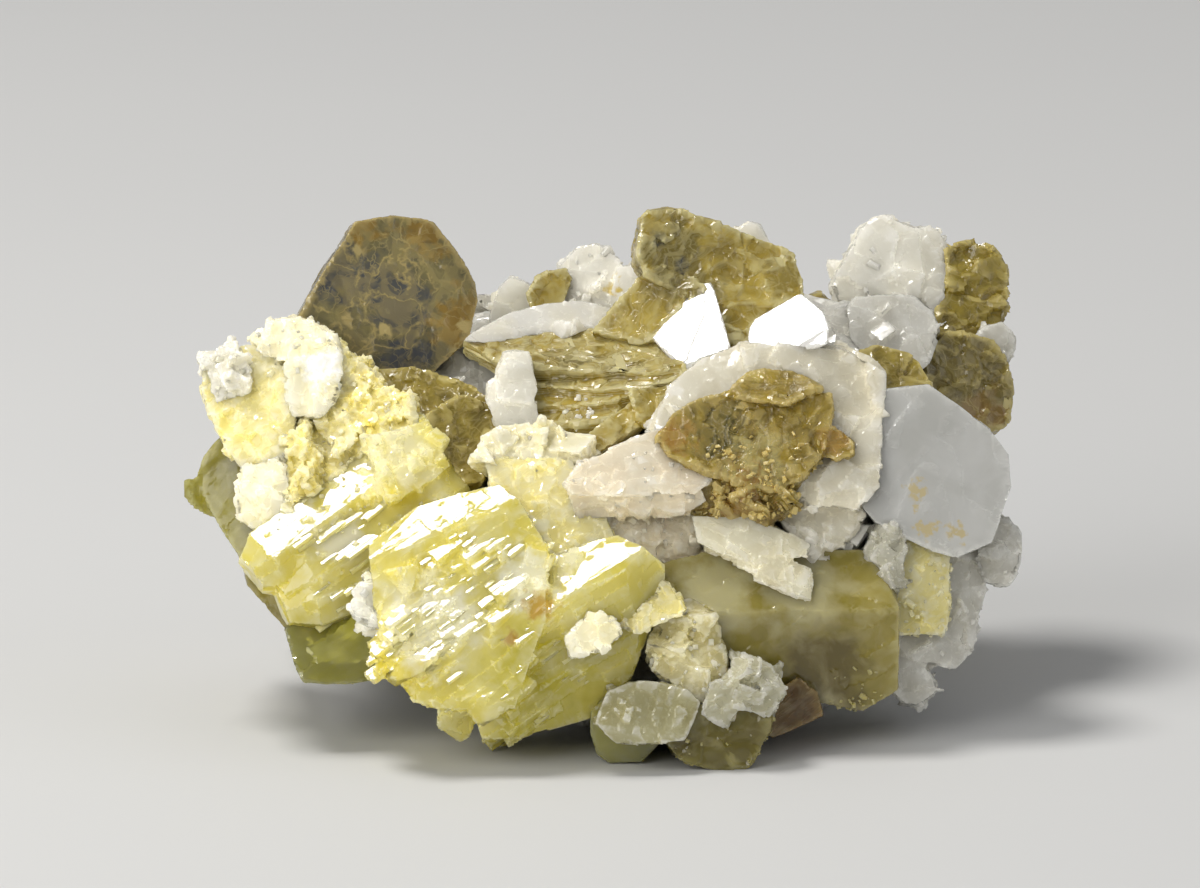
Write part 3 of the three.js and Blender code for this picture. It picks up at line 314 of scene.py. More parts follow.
class Shader:
    """A node tree that is being built, with short ways to add and join nodes."""

    NUMBERS = ("DOT_PRODUCT", "DISTANCE")

    def __init__(self, tree: bpy.types.NodeTree) -> None:
        """Keeps the tree to build in, which is empty."""
        self.tree = tree

    def add(self, kind: str, inputs: Optional[dict[Any, Any]] = None, **options: Any) -> bpy.types.Node:
        """Adds a node.

        Args:
            kind: Blender's name for the node.
            inputs: What goes in each socket: a value, or the socket that feeds it.
            options: The node's own settings.

        Returns:
            The node.
        """
        node = self.tree.nodes.new(kind)
        for name, value in options.items():
            setattr(node, name, value)
        for socket, value in (inputs or {}).items():
            self.put(node.inputs[socket], value)
        return node

    def put(self, socket: bpy.types.NodeSocket, value: Any) -> None:
        """Feeds a socket with another socket, or sets it."""
        if isinstance(value, bpy.types.NodeSocket):
            self.tree.links.new(value, socket)
            return
        if isinstance(value, tuple) and len(value) == 3 and socket.type == "RGBA":
            value = (*value, 1.0)
        socket.default_value = value

    def math(self, operation: str, *values: Any) -> bpy.types.NodeSocket:
        """One step of arithmetic."""
        return self.add("ShaderNodeMath", dict(enumerate(values)), operation=operation).outputs[0]

    def vector(self, operation: str, *values: Any, scale: Any = None) -> bpy.types.NodeSocket:
        """One step of arithmetic with vectors, which gives a number where the operation does."""
        node = self.add("ShaderNodeVectorMath", dict(enumerate(values)), operation=operation)
        if scale is not None:
            self.put(node.inputs["Scale"], scale)
        return node.outputs["Value" if operation in self.NUMBERS else "Vector"]

    def mix(self, share: Any, first: Any, second: Any) -> bpy.types.NodeSocket:
        """A colour between two colours."""
        node = self.add("ShaderNodeMix", data_type="RGBA", clamp_factor=True)
        self.put(node.inputs[0], share)
        self.put(node.inputs[6], first)
        self.put(node.inputs[7], second)
        return node.outputs[2]

    def ramp(
        self, value: Any, low: Any, high: Any, start: float = 0.0, end: float = 1.0
    ) -> bpy.types.NodeSocket:
        """A value moved from one range to another, and kept inside it."""
        inputs = {0: value, 1: low, 2: high, 3: start, 4: end}
        return self.add("ShaderNodeMapRange", inputs, clamp=True).outputs[0]

    def noise(
        self, place: Any, scale: float = 1.0, output: str = "Fac", **inputs: Any
    ) -> bpy.types.NodeSocket:
        """Noise over a place, as a number or a colour. Its other sockets are given by name."""
        sockets = {"Vector": place, "Scale": scale, "Detail": 3.0, **inputs}
        return self.add("ShaderNodeTexNoise", sockets).outputs[output]

    def cells(self, place: Any, scale: float, output: str, feature: str = "F1") -> bpy.types.NodeSocket:
        """Cells over a place: the distance in each cell, or its own colour."""
        sockets = {"Vector": place, "Scale": scale}
        return self.add("ShaderNodeTexVoronoi", sockets, feature=feature).outputs[output]


class Effect(Enum):
    """The effects that several finishes share, each one node group."""

    MOTTLE = "mottled colour"
    STRIAE = "growth lines"
    WEB = "web of wrinkles"
    STAIN = "stain at a place"
    SUGAR = "sugary grain"
    LAYERS = "edges of thin leaves"
    SHARED = "face that parallel crystals share"
    EDGES = "edges that pass more light"


class Effects:
    """Builds each shared effect once and places it in the materials that use it."""

    def __init__(self) -> None:
        """Starts with no effect built."""
        self.groups: dict[Effect, bpy.types.NodeTree] = {}

    def place(self, shader: Shader, effect: Effect, **values: Any) -> bpy.types.Node:
        """Places an effect in a material.

        Args:
            shader: The material's tree.
            effect: Which effect.
            values: What goes in each named socket.

        Returns:
            The group's node.
        """
        if effect not in self.groups:
            self.groups[effect] = getattr(self, effect.name.lower())(effect.value)
        node = shader.add("ShaderNodeGroup", node_tree=self.groups[effect])
        for name, value in values.items():
            shader.put(node.inputs[name.replace("_", " ").title()], value)
        return node

    @staticmethod
    def start(name: str, inputs: dict[str, Any], outputs: Iterable[str]) -> tuple[Shader, dict, dict]:
        """Starts a group.

        Args:
            name: The group's name.
            inputs: Each input's name, with its default: a number, a colour or a vector.
            outputs: Each output's name. One that ends in Colour holds a colour.

        Returns:
            The tree, the sockets that bring the inputs in, and the sockets that take the outputs.
        """
        tree = bpy.data.node_groups.new(name, "ShaderNodeTree")
        for label, value in inputs.items():
            kind = "NodeSocketFloat"
            if isinstance(value, tuple):
                kind = "NodeSocketColor" if len(value) == 4 else "NodeSocketVector"
            socket = tree.interface.new_socket(label, in_out="INPUT", socket_type=kind)
            socket.default_value = value
        for label in outputs:
            kind = "NodeSocketColor" if label.endswith("Colour") else "NodeSocketFloat"
            tree.interface.new_socket(label, in_out="OUTPUT", socket_type=kind)
        shader = Shader(tree)
        into = tree.nodes.new("NodeGroupInput")
        out = tree.nodes.new("NodeGroupOutput")
        return shader, into.outputs, out.inputs

    @staticmethod
    def scaled(shader: Shader, size: Any) -> bpy.types.NodeSocket:
        """The place on the surface, in units of a size in millimetres."""
        place = shader.add("ShaderNodeTexCoord").outputs["Object"]
        return shader.vector("SCALE", place, scale=shader.math("DIVIDE", 1 / MM, size))

    def mottle(self, name: str) -> bpy.types.NodeTree:
        """Cloudy patches between two colours."""
        inputs = {"Size": 3.0, "Bend": 0.6, "Low": 0.35, "High": 0.65}
        inputs |= {"First": (1, 1, 1, 1), "Second": (0, 0, 0, 1)}
        shader, into, out = self.start(name, inputs, ["Colour", "Mask"])
        cloud = shader.noise(self.scaled(shader, into["Size"]), Detail=5.0, Distortion=into["Bend"])
        mask = shader.ramp(cloud, into["Low"], into["High"])
        shader.put(out["Colour"], shader.mix(mask, into["First"], into["Second"]))
        shader.put(out["Mask"], mask)
        return shader.tree

    def striae(self, name: str) -> bpy.types.NodeTree:
        """Fine lines along the growth axis, broken into steps."""
        shader, into, out = self.start(name, {"Size": 0.4, "Length": 9.0}, ["Height", "Mask"])
        place = self.scaled(shader, into["Size"])
        along = shader.vector("DOT_PRODUCT", place, tuple(GROWTH))
        shrink = shader.math("SUBTRACT", 1.0, shader.math("DIVIDE", 1.0, into["Length"]))
        back = shader.vector("SCALE", tuple(GROWTH), scale=shader.math("MULTIPLY", along, shrink))
        squeezed = shader.vector("SUBTRACT", place, back)
        lines = shader.noise(squeezed, Detail=4.0)
        steps = shader.add("ShaderNodeSeparateColor", {0: shader.cells(squeezed, 0.35, "Color")}).outputs[0]
        shader.put(out["Height"], shader.math("ADD", lines, shader.math("MULTIPLY", steps, 0.7)))
        shader.put(out["Mask"], shader.ramp(lines, low=0.42, high=0.6))
        return shader.tree

    def web(self, name: str) -> bpy.types.NodeTree:
        """Thin wrinkles that meet in a net, with a finer and fainter net between them."""
        shader, into, out = self.start(name, {"Size": 2.5, "Width": 0.06}, ["Mask"])
        place = self.scaled(shader, into["Size"])
        bend = shader.noise(place, 1.3, "Color", Detail=4.0)
        moved = shader.vector("MULTIPLY_ADD", bend, (1.1, 1.1, 1.1), place)
        nets = []
        for scale, strength in ((1.0, 1.0), (2.7, 0.6)):
            edge = shader.cells(moved, scale, "Distance", "DISTANCE_TO_EDGE")
            nets.append(shader.ramp(edge, 0.0, into["Width"], start=strength, end=0.0))
        shader.put(out["Mask"], shader.math("MAXIMUM", *nets))
        return shader.tree

    def stain(self, name: str) -> bpy.types.NodeTree:
        """A ragged patch round a place, in millimetres."""
        inputs = {"Centre": (0.0, 0.0, 0.0), "Reach": 2.0, "Ragged": 0.6, "Size": 0.8}
        shader, into, out = self.start(name, inputs, ["Mask"])
        away = shader.vector("DISTANCE", self.scaled(shader, 1.0), into["Centre"])
        near = shader.math("SUBTRACT", 1.0, shader.math("DIVIDE", away, into["Reach"]))
        noise = shader.noise(self.scaled(shader, into["Size"]), Detail=5.0)
        depth = shader.math("MULTIPLY", into["Ragged"], 3.0)
        torn = shader.math("MULTIPLY", shader.math("SUBTRACT", noise, 0.5), depth)
        shader.put(out["Mask"], shader.ramp(shader.math("ADD", near, torn), low=0.1, high=0.55))
        return shader.tree

    def sugar(self, name: str) -> bpy.types.NodeTree:
        """A fine crystalline grain."""
        shader, into, out = self.start(name, {"Size": 0.35}, ["Height", "Mask"])
        place = self.scaled(shader, into["Size"])
        cells = shader.cells(place, 1.0, "Distance")
        noise = shader.noise(place, 1.7)
        shader.put(out["Height"], shader.math("SUBTRACT", noise, shader.math("MULTIPLY", cells, 0.6)))
        shader.put(out["Mask"], shader.ramp(noise, low=0.45, high=0.65))
        return shader.tree

    def layers(self, name: str) -> bpy.types.NodeTree:
        """Fine lines where leaves end, which lie across an axis."""
        shader, into, out = self.start(name, {"Axis": (0.0, 0.0, 1.0), "Size": 0.12}, ["Height", "Mask"])
        place = self.scaled(shader, 1.0)
        bend = shader.math("MULTIPLY", shader.noise(place, 0.3, Detail=2.0), 0.8)
        level = shader.vector("DOT_PRODUCT", place, into["Axis"])
        moved = shader.math("DIVIDE", shader.math("ADD", level, bend), into["Size"])
        inputs = {"W": moved, "Scale": 1.0, "Detail": 3.0}
        lines = shader.add("ShaderNodeTexNoise", inputs, noise_dimensions="1D").outputs["Fac"]
        shader.put(out["Height"], lines)
        shader.put(out["Mask"], shader.ramp(lines, low=0.42, high=0.62))
        return shader.tree

    def shared(self, name: str) -> bpy.types.NodeTree:
        """Where the surface lies level with the smooth face of the parallel crystals."""
        shader, into, out = self.start(name, {"Least": 0.96}, ["Mask"])
        normal = shader.add("ShaderNodeNewGeometry").outputs["True Normal"]
        level = shader.vector("DOT_PRODUCT", normal, tuple(GLOSS))
        shader.put(out["Mask"], shader.ramp(level, into["Least"], high=0.985))
        return shader.tree

    def edges(self, name: str) -> bpy.types.NodeTree:
        """Painted highlight where the surface turns outwards sharply, and painted shade where it turns
        inwards.
        """
        shader, _, out = self.start(name, {}, ["Ridge", "Groove"])
        point = shader.add("ShaderNodeNewGeometry").outputs["Pointiness"]
        shader.put(out["Ridge"], shader.ramp(point, low=0.505, high=0.56))
        shader.put(out["Groove"], shader.ramp(point, low=0.495, high=0.43))
        return shader.tree


EFFECTS = Effects()


def empty_material(name: str) -> tuple[bpy.types.Material, Shader]:
    """A new material without nodes, and its tree to build in."""
    made = bpy.data.materials.new(name)
    made.use_nodes = True
    made.node_tree.nodes.clear()
    return made, Shader(made.node_tree)


@dataclass(frozen=True)
class Spot:
    """A stain: its place in the front view, how far it reaches and its colour."""

    place: Place
    reach: float
    color: Color
    ragged: float = 0.6
    size: float = 0.8

    def lay(self, shader: Shader, color: Any, shop: "Workshop") -> bpy.types.NodeSocket:
        """Lays the stain over a colour, where the front surface is at its place."""
        centre = tuple(shop.front_point(self.place))
        values = {"centre": centre, "reach": self.reach, "ragged": self.ragged, "size": self.size}
        return shader.mix(EFFECTS.place(shader, Effect.STAIN, **values).outputs["Mask"], color, self.color)


@dataclass(frozen=True)
class Finish:
    """What every mineral's finish has in common."""

    GRAIN_SHARE = 0.3
    GROOVE_SHADE_SHARE = 0.5
    COAT_ROUGHNESS = 0.05
    BUMP_DEPTH = 0.12

    name: str
    slot: str
    first: Color
    second: Color
    patch: float = 3.0
    roughness: Place = (0.15, 0.4)
    transmission: float = 0.0
    scatter: float = 1.2
    scatter_color: Color = (1.0, 1.0, 1.0)
    soft: float = 1.0
    ior: float = 1.55
    coat: float = 0.0
    bump: float = 0.3
    absorb: Optional[Color] = None
    density: float = 0.0
    # The colour that sharp edges are lightened to as a painted highlight; grooves are darkened towards the
    # second colour as painted shade
    edge: Color = (0.92, 0.90, 0.84)
    edge_share: float = 0.5
    spots: tuple[Spot, ...] = ()

    def relief(self, shader: Shader) -> tuple[Any, Any, Any]:
        """The fine height, a mask that lightens the colour, and a mask that roughens the surface."""
        sugar = EFFECTS.place(shader, Effect.SUGAR, size=0.5)
        return sugar.outputs["Height"], None, sugar.outputs["Mask"]

    def light(self) -> Color:
        """The colour that the lightening mask brings."""
        return self.first

    def grain(self) -> "Finish":
        """The same finish for crystals that are too small to scatter light over millimetres."""
        return replace(
            self, name=self.name + " grain", absorb=None, spots=(),
            scatter=self.scatter * self.GRAIN_SHARE, transmission=self.transmission * self.GRAIN_SHARE,
        )

    def material(self, shop: "Workshop") -> bpy.types.Material:
        """The material, made the first time it is asked for."""
        found = bpy.data.materials.get(self.name)
        if found:
            return found
        made, shader = empty_material(self.name)
        mottle = EFFECTS.place(shader, Effect.MOTTLE, size=self.patch, first=self.first, second=self.second)
        height, pale, rough = self.relief(shader)
        color = mottle.outputs["Colour"]
        for spot in self.spots:
            color = spot.lay(shader, color, shop)
        if pale is not None:
            color = shader.mix(pale, color, self.light())
        # Painted highlight on sharp edges and painted shade in grooves, by how pointed the surface is
        edges = EFFECTS.place(shader, Effect.EDGES)
        ridge = shader.math("MULTIPLY", edges.outputs["Ridge"], self.edge_share)
        groove_shade = shader.math("MULTIPLY", edges.outputs["Groove"], self.edge_share * self.GROOVE_SHADE_SHARE)
        color = shader.mix(ridge, color, self.edge)
        color = shader.mix(groove_shade, color, self.second)
        surface = shader.add("ShaderNodeBsdfPrincipled", {
            "Base Color": color,
            "Roughness": shader.ramp(rough, 0.0, 1.0, *self.roughness),
            "IOR": self.ior,
            "Transmission Weight": self.transmission,
            "Subsurface Weight": self.soft,
            "Subsurface Radius": self.scatter_color,
            "Subsurface Scale": self.scatter * MM,
            "Coat Weight": self.coat,
            "Coat Roughness": self.COAT_ROUGHNESS,
        }, subsurface_method="BURLEY")
        inputs = {"Strength": self.bump, "Distance": self.BUMP_DEPTH * MM, "Height": height}
        shader.put(surface.inputs["Normal"], shader.add("ShaderNodeBump", inputs).outputs[0])
        out = shader.add("ShaderNodeOutputMaterial", {"Surface": surface.outputs[0]})
        if self.absorb:
            inputs = {"Color": self.absorb, "Density": self.density}
            shader.put(out.inputs["Volume"], shader.add("ShaderNodeVolumeAbsorption", inputs).outputs[0])
        return made


@dataclass(frozen=True)
class BrazilianiteFinish(Finish):
    """Glassy yellow, with growth lines, cloudy veils, and smooth faces that all the crystals share."""

    LINE_SIZE = 0.35
    VEIL_SIZE = 0.45
    SMOOTH_SHARE = 0.1

    ior: float = 1.6
    bump: float = 0.15
    veil: Color = (0.86, 0.82, 0.50)
    veil_share: float = 0.5

    def relief(self, shader: Shader) -> tuple[Any, Any, Any]:
        """Growth lines with a cloudy veil between them, and neither on the smooth faces."""
        lines = EFFECTS.place(shader, Effect.STRIAE, size=self.LINE_SIZE)
        veil = EFFECTS.place(
            shader, Effect.MOTTLE, size=self.patch * self.VEIL_SIZE, low=0.48, high=0.7
        ).outputs["Mask"]
        rest = shader.math("SUBTRACT", 1.0, EFFECTS.place(shader, Effect.SHARED).outputs["Mask"])
        share = shader.math("MAXIMUM", rest, self.SMOOTH_SHARE)
        height = shader.math("MULTIPLY", lines.outputs["Height"], share)
        rough = shader.math("MULTIPLY", lines.outputs["Mask"], rest)
        return height, shader.math("MULTIPLY", veil, self.veil_share), rough

    def light(self) -> Color:
        """The colour of the veil."""
        return self.veil


@dataclass(frozen=True)
class AlbiteFinish(Finish):
    """Milky white, with the fine grain that every finish has by itself."""

    roughness: Place = (0.08, 0.3)
    scatter: float = 2.5
    ior: float = 1.53
    bump: float = 0.12


@dataclass(frozen=True)
class MuscoviteFinish(Finish):
    """Olive-brown leaves with a net of pale wrinkles."""

    WRINKLE_WIDTH = 0.05
    WRINKLE_HEIGHT = 0.3
    CLOUD_SIZE = 1.4

    roughness: Place = (0.03, 0.2)
    soft: float = 0.4
    scatter: float = 0.8
    ior: float = 1.58
    coat: float = 0.3
    bump: float = 0.3
    web_size: float = 2.2
    web_color: Color = (0.46, 0.33, 0.11)
    web_share: float = 0.9
    line_share: float = 0.35
    axis: Direction = (0.0, 0.0, 1.0)

    def relief(self, shader: Shader) -> tuple[Any, Any, Any]:
        """Wrinkles that stand up a little and show paler, and the fine edges of the leaves."""
        wrinkles = EFFECTS.place(shader, Effect.WEB, size=self.web_size, width=self.WRINKLE_WIDTH)
        web = wrinkles.outputs["Mask"]
        cloud = EFFECTS.place(
            shader, Effect.MOTTLE, size=self.CLOUD_SIZE, low=0.35, high=0.52
        ).outputs["Mask"]
        edges = EFFECTS.place(shader, Effect.LAYERS, axis=self.axis)
        pale = shader.math("MULTIPLY", shader.math("MULTIPLY", web, self.web_share), cloud)
        lines = shader.math("MULTIPLY", edges.outputs["Mask"], self.line_share)
        raised = shader.math("MULTIPLY", web, self.WRINKLE_HEIGHT)
        height = shader.math("ADD", raised, edges.outputs["Height"])
        return height, shader.math("MAXIMUM", pale, lines), cloud

    def light(self) -> Color:
        """The colour of a wrinkle."""
        return self.web_color

    def of_book(self, name: str, slope: Place, spots: tuple[Spot, ...] = ()) -> "MuscoviteFinish":
        """The finish for one book, whose leaves lie level with a slope."""
        return replace(self, name=f"{self.name} {name}", axis=tuple(face_normal(slope)), spots=spots)


PALE_YELLOW = BrazilianiteFinish(
    "brazilianite pale", "brazilianite", (0.82, 0.72, 0.20), (0.70, 0.59, 0.09), patch=5.0,
    roughness=(0.04, 0.22), transmission=0.12, scatter=3.0, scatter_color=(1.0, 0.92, 0.45),
    edge=(0.93, 0.89, 0.56),
)
CREAM_YELLOW = BrazilianiteFinish(
    "brazilianite cream", "brazilianite", (0.87, 0.78, 0.38), (0.79, 0.68, 0.22),
    roughness=(0.06, 0.28), scatter=2.5, scatter_color=(1.0, 0.93, 0.55),
    veil=(0.90, 0.85, 0.60), veil_share=0.7, edge=(0.93, 0.90, 0.70),
)
GREENISH = BrazilianiteFinish(
    "brazilianite greenish", "brazilianite_olive", (0.36, 0.315, 0.045), (0.25, 0.215, 0.025), patch=2.5,
    roughness=(0.05, 0.22), transmission=0.25, scatter=1.5, scatter_color=(0.95, 0.95, 0.4),
    bump=0.2, veil=(0.55, 0.51, 0.20), veil_share=0.4, edge=(0.70, 0.67, 0.30),
)
CLEAR_YELLOW = BrazilianiteFinish(
    "brazilianite clear", "brazilianite_olive", (0.90, 0.86, 0.26), (0.80, 0.74, 0.12), patch=4.0,
    roughness=(0.03, 0.12), transmission=0.7, scatter=2.0, scatter_color=(1.0, 0.95, 0.3),
    absorb=(0.95, 0.92, 0.10), density=100.0, veil_share=0.15, edge=(0.95, 0.93, 0.5),
)
OLIVE = BrazilianiteFinish(
    "brazilianite olive", "brazilianite_olive", (0.44, 0.36, 0.075), (0.26, 0.205, 0.02), patch=4.5,
    roughness=(0.05, 0.22), transmission=0.25, scatter=1.5, scatter_color=(1.0, 0.9, 0.3),
    veil=(0.60, 0.52, 0.25), veil_share=0.4, edge=(0.74, 0.67, 0.34),
)
BROWN = BrazilianiteFinish(
    "brazilianite brown", "brazilianite_olive", (0.22, 0.135, 0.04), (0.12, 0.065, 0.018), patch=2.0,
    roughness=(0.08, 0.3), transmission=0.2, scatter=1.0, scatter_color=(1.0, 0.7, 0.3),
    bump=0.25, veil_share=0.1, edge=(0.50, 0.36, 0.14),
)
WHITE = AlbiteFinish(
    "albite white", "albite", (0.80, 0.775, 0.68), (0.69, 0.655, 0.54), scatter_color=(1.0, 0.98, 0.93),
)
ICY = AlbiteFinish(
    "albite icy", "albite", (0.86, 0.84, 0.74), (0.79, 0.755, 0.62),
    roughness=(0.04, 0.22), scatter_color=(1.0, 0.98, 0.9), bump=0.1,
)
ICY_WARM = AlbiteFinish(
    "albite warm", "albite", (0.88, 0.83, 0.62), (0.83, 0.765, 0.48),
    roughness=(0.04, 0.22), scatter_color=(1.0, 0.96, 0.78), bump=0.1, edge=(0.93, 0.91, 0.80),
)
PINKISH = AlbiteFinish(
    "albite pinkish", "albite", (0.79, 0.72, 0.56), (0.69, 0.595, 0.43), patch=2.5,
    scatter_color=(1.0, 0.95, 0.85), edge=(0.90, 0.87, 0.78),
)
GREY = AlbiteFinish(
    "albite grey", "albite_grey", (0.60, 0.585, 0.53), (0.48, 0.46, 0.39), patch=4.0,
    roughness=(0.1, 0.34), scatter=2.0, scatter_color=(1.0, 0.98, 0.94), bump=0.1, edge=(0.82, 0.81, 0.76),
)
GLOSSY = AlbiteFinish(
    "albite glossy", "albite", (0.84, 0.83, 0.80), (0.76, 0.75, 0.71), patch=2.0,
    roughness=(0.03, 0.08), scatter=1.2, bump=0.05, coat=1.0,
)
MICA = MuscoviteFinish(
    "muscovite", "muscovite", (0.44, 0.33, 0.04), (0.20, 0.145, 0.012), patch=1.6,
    transmission=0.3, scatter_color=(1.0, 0.8, 0.3),
    web_color=(0.64, 0.51, 0.16), web_share=0.6, edge=(0.80, 0.66, 0.24), edge_share=0.9,
)
MICA_GOLD = MuscoviteFinish(
    "muscovite gold", "muscovite", (0.70, 0.52, 0.085), (0.36, 0.25, 0.025), patch=1.6,
    transmission=0.35, scatter=1.0, scatter_color=(1.0, 0.84, 0.3),
    web_color=(0.82, 0.71, 0.32), web_share=0.4, edge=(0.94, 0.83, 0.40), edge_share=1.0,
)
MICA_SMOKY = MuscoviteFinish(
    "muscovite smoky", "muscovite", (0.33, 0.28, 0.10), (0.17, 0.155, 0.09), patch=2.4,
    roughness=(0.02, 0.14), transmission=0.45, scatter=0.6, scatter_color=(1.0, 0.85, 0.5),
    absorb=(0.85, 0.78, 0.6), density=60.0, bump=0.35,
    web_color=(0.70, 0.55, 0.20), web_size=3.0, edge=(0.84, 0.66, 0.26), edge_share=0.9,
)
MICA_RUSTY = MuscoviteFinish(
    "muscovite rusty", "muscovite_rusty", (0.43, 0.30, 0.03), (0.18, 0.12, 0.01), patch=1.4,
    roughness=(0.05, 0.28), transmission=0.2, scatter_color=(1.0, 0.75, 0.3), bump=0.4, coat=0.1,
    web_color=(0.58, 0.44, 0.13), web_size=1.4, web_share=0.3, edge=(0.74, 0.58, 0.20), edge_share=0.8,
)


def mesh_arrays(mesh: bpy.types.Mesh) -> tuple[Points, Points]:
    """A mesh's points in millimetres and its triangles."""
    mesh.calc_loop_triangles()
    points = np.empty(len(mesh.vertices) * 3)
    mesh.vertices.foreach_get("co", points)
    triangles = np.empty(len(mesh.loop_triangles) * 3, np.int32)
    mesh.loop_triangles.foreach_get("vertices", triangles)
    return points.reshape(-1, 3) / MM, triangles.reshape(-1, 3)


def vertex_normals(mesh: bpy.types.Mesh) -> Points:
    """The unit normal at each vertex."""
    normals = np.empty(len(mesh.vertices) * 3)
    mesh.vertex_normals.foreach_get("vector", normals)
    return normals.reshape(-1, 3)


def welded(mesh: bpy.types.Mesh) -> bpy.types.Mesh:
    """A copy of a solid's mesh with its split vertices joined again."""
    made = bpy.data.meshes.new(mesh.name + "_welded")
    work = bmesh.new()
    work.from_mesh(mesh)
    bmesh.ops.remove_doubles(work, verts=work.verts, dist=1e-6)
    bmesh.ops.triangulate(work, faces=work.faces)
    work.to_mesh(made)
    work.free()
    return made


def shaded(mesh: bpy.types.Mesh, angle: float) -> None:
    """Shades a mesh smooth, but for the edges that are sharper than an angle in degrees."""
    mesh.polygons.foreach_set("use_smooth", np.ones(len(mesh.polygons), bool))
    mesh.set_sharp_from_angle(angle=math.radians(angle))


def put_points(mesh: bpy.types.Mesh, points: Points) -> None:
    """Moves a mesh's vertices to points in millimetres."""
    mesh.vertices.foreach_set("co", (points * MM).ravel())
    mesh.update()


def mesh_of(name: str, points: Points, faces: Sequence[Sequence[int]]) -> bpy.types.Mesh:
    """A mesh from points in millimetres and faces."""
    mesh = bpy.data.meshes.new(name)
    mesh.from_pydata((points * MM).tolist(), [], [list(map(int, face)) for face in faces])
    mesh.update()
    return mesh


def facing(corners: Points) -> tuple[Points, Points]:
    """Twice the area of each triangle, and its unit normal."""
    cross = np.cross(corners[:, 1] - corners[:, 0], corners[:, 2] - corners[:, 0])
    size = np.linalg.norm(cross, axis=1)
    return size, cross / (size[:, None] + FLAT)


def grown(solid: bpy.types.Mesh, by: float) -> bpy.types.Mesh:
    """A solid whose faces have all moved out.

    Args:
        solid: The solid's mesh.
        by: How far its faces move, in millimetres.

    Returns:
        A new mesh.
    """
    points, triangles = mesh_arrays(solid)
    size, normals = facing(points[triangles])
    weights = np.minimum(size, SMALL_FACE)
    square = np.zeros((len(points), 3, 3))
    pull = np.zeros((len(points), 3))
    for corner in triangles.T:
        np.add.at(square, corner, weights[:, None, None] * normals[:, :, None] * normals[:, None, :])
        np.add.at(pull, corner, weights[:, None] * normals * by)
    stiff = STIFFNESS * np.trace(square, axis1=1, axis2=2)[:, None, None] + TINY
    move = np.linalg.solve(square + stiff * np.eye(3), pull[:, :, None])[:, :, 0]
    length = np.linalg.norm(move, axis=1, keepdims=True)
    move *= np.minimum(1, CORNER_REACH * by / (length + TINY))
    return mesh_of(solid.name + "_grown", points + move, triangles)


def slice_loops(points: Points, triangles: Points, normal: Points, level: float) -> list[Points]:
    """The outlines where a plane cuts a closed solid.

    Args:
        points: The solid's points.
        triangles: Its triangles.
        normal: The plane's unit normal.
        level: The plane's distance from the origin along it.

    Returns:
        Each closed outline as an array of points.
    """
    depth = points @ normal - level
    depth[np.abs(depth) < NEAREST] = NEAREST
    joined: dict[tuple[int, int], list[tuple[int, int]]] = {}
    for triangle in triangles[(depth[triangles] > 0).any(1) & (depth[triangles] < 0).any(1)]:
        edges = [tuple(sorted((int(triangle[k]), int(triangle[k - 2])))) for k in range(3)]
        first, second = [edge for edge in edges if depth[edge[0]] * depth[edge[1]] < 0]
        joined.setdefault(first, []).append(second)
        joined.setdefault(second, []).append(first)
    loops = []
    while joined:
        edge = next(iter(joined))
        loop = []
        while edge in joined:
            loop.append(edge)
            following = [other for other in joined.pop(edge) if other in joined]
            edge = following[0] if following else (-1, -1)
        a, b = np.array(loop).T
        share = depth[a] / (depth[a] - depth[b])
        loops.append(points[a] + (points[b] - points[a]) * share[:, None])
    return loops


def even_loop(loop: Points, spacing: float) -> Points:
    """The same closed outline, with points at even distances."""
    closed = np.vstack([loop, loop[:1]])
    run = np.concatenate([[0], np.cumsum(np.linalg.norm(np.diff(closed, axis=0), axis=1))])
    count = max(FEWEST_POINTS, int(run[-1] / spacing))
    at = np.linspace(0, run[-1], count, endpoint=False)
    return np.stack([np.interp(at, run, closed[:, k]) for k in range(3)], 1)


@dataclass(frozen=True)
class Leaves:
    """Thin leaves that show on the edge of a book."""

    slope: Place
    spacing: float = 0.28
    thickness: float = 0.1
    stand: float = 0.3
    shortest: float = 0.2
    whole: float = 0.6
    torn: float = 0.8
    torn_size: float = 2.4
    wave: float = 0.12
    wave_size: float = 5.0


@dataclass(frozen=True)
class Skin:
    """The visible surface of one solid: its name, its solid, its finish, its relief and its mesh size.

    The crystals of its crust are grown into it, so that surface and crust are one closed mesh.
    """

    name: str
    node: str
    finish: Finish
    relief: Relief = Relief()
    fineness: float = 0.2
    crust: tuple[Druse, ...] = ()


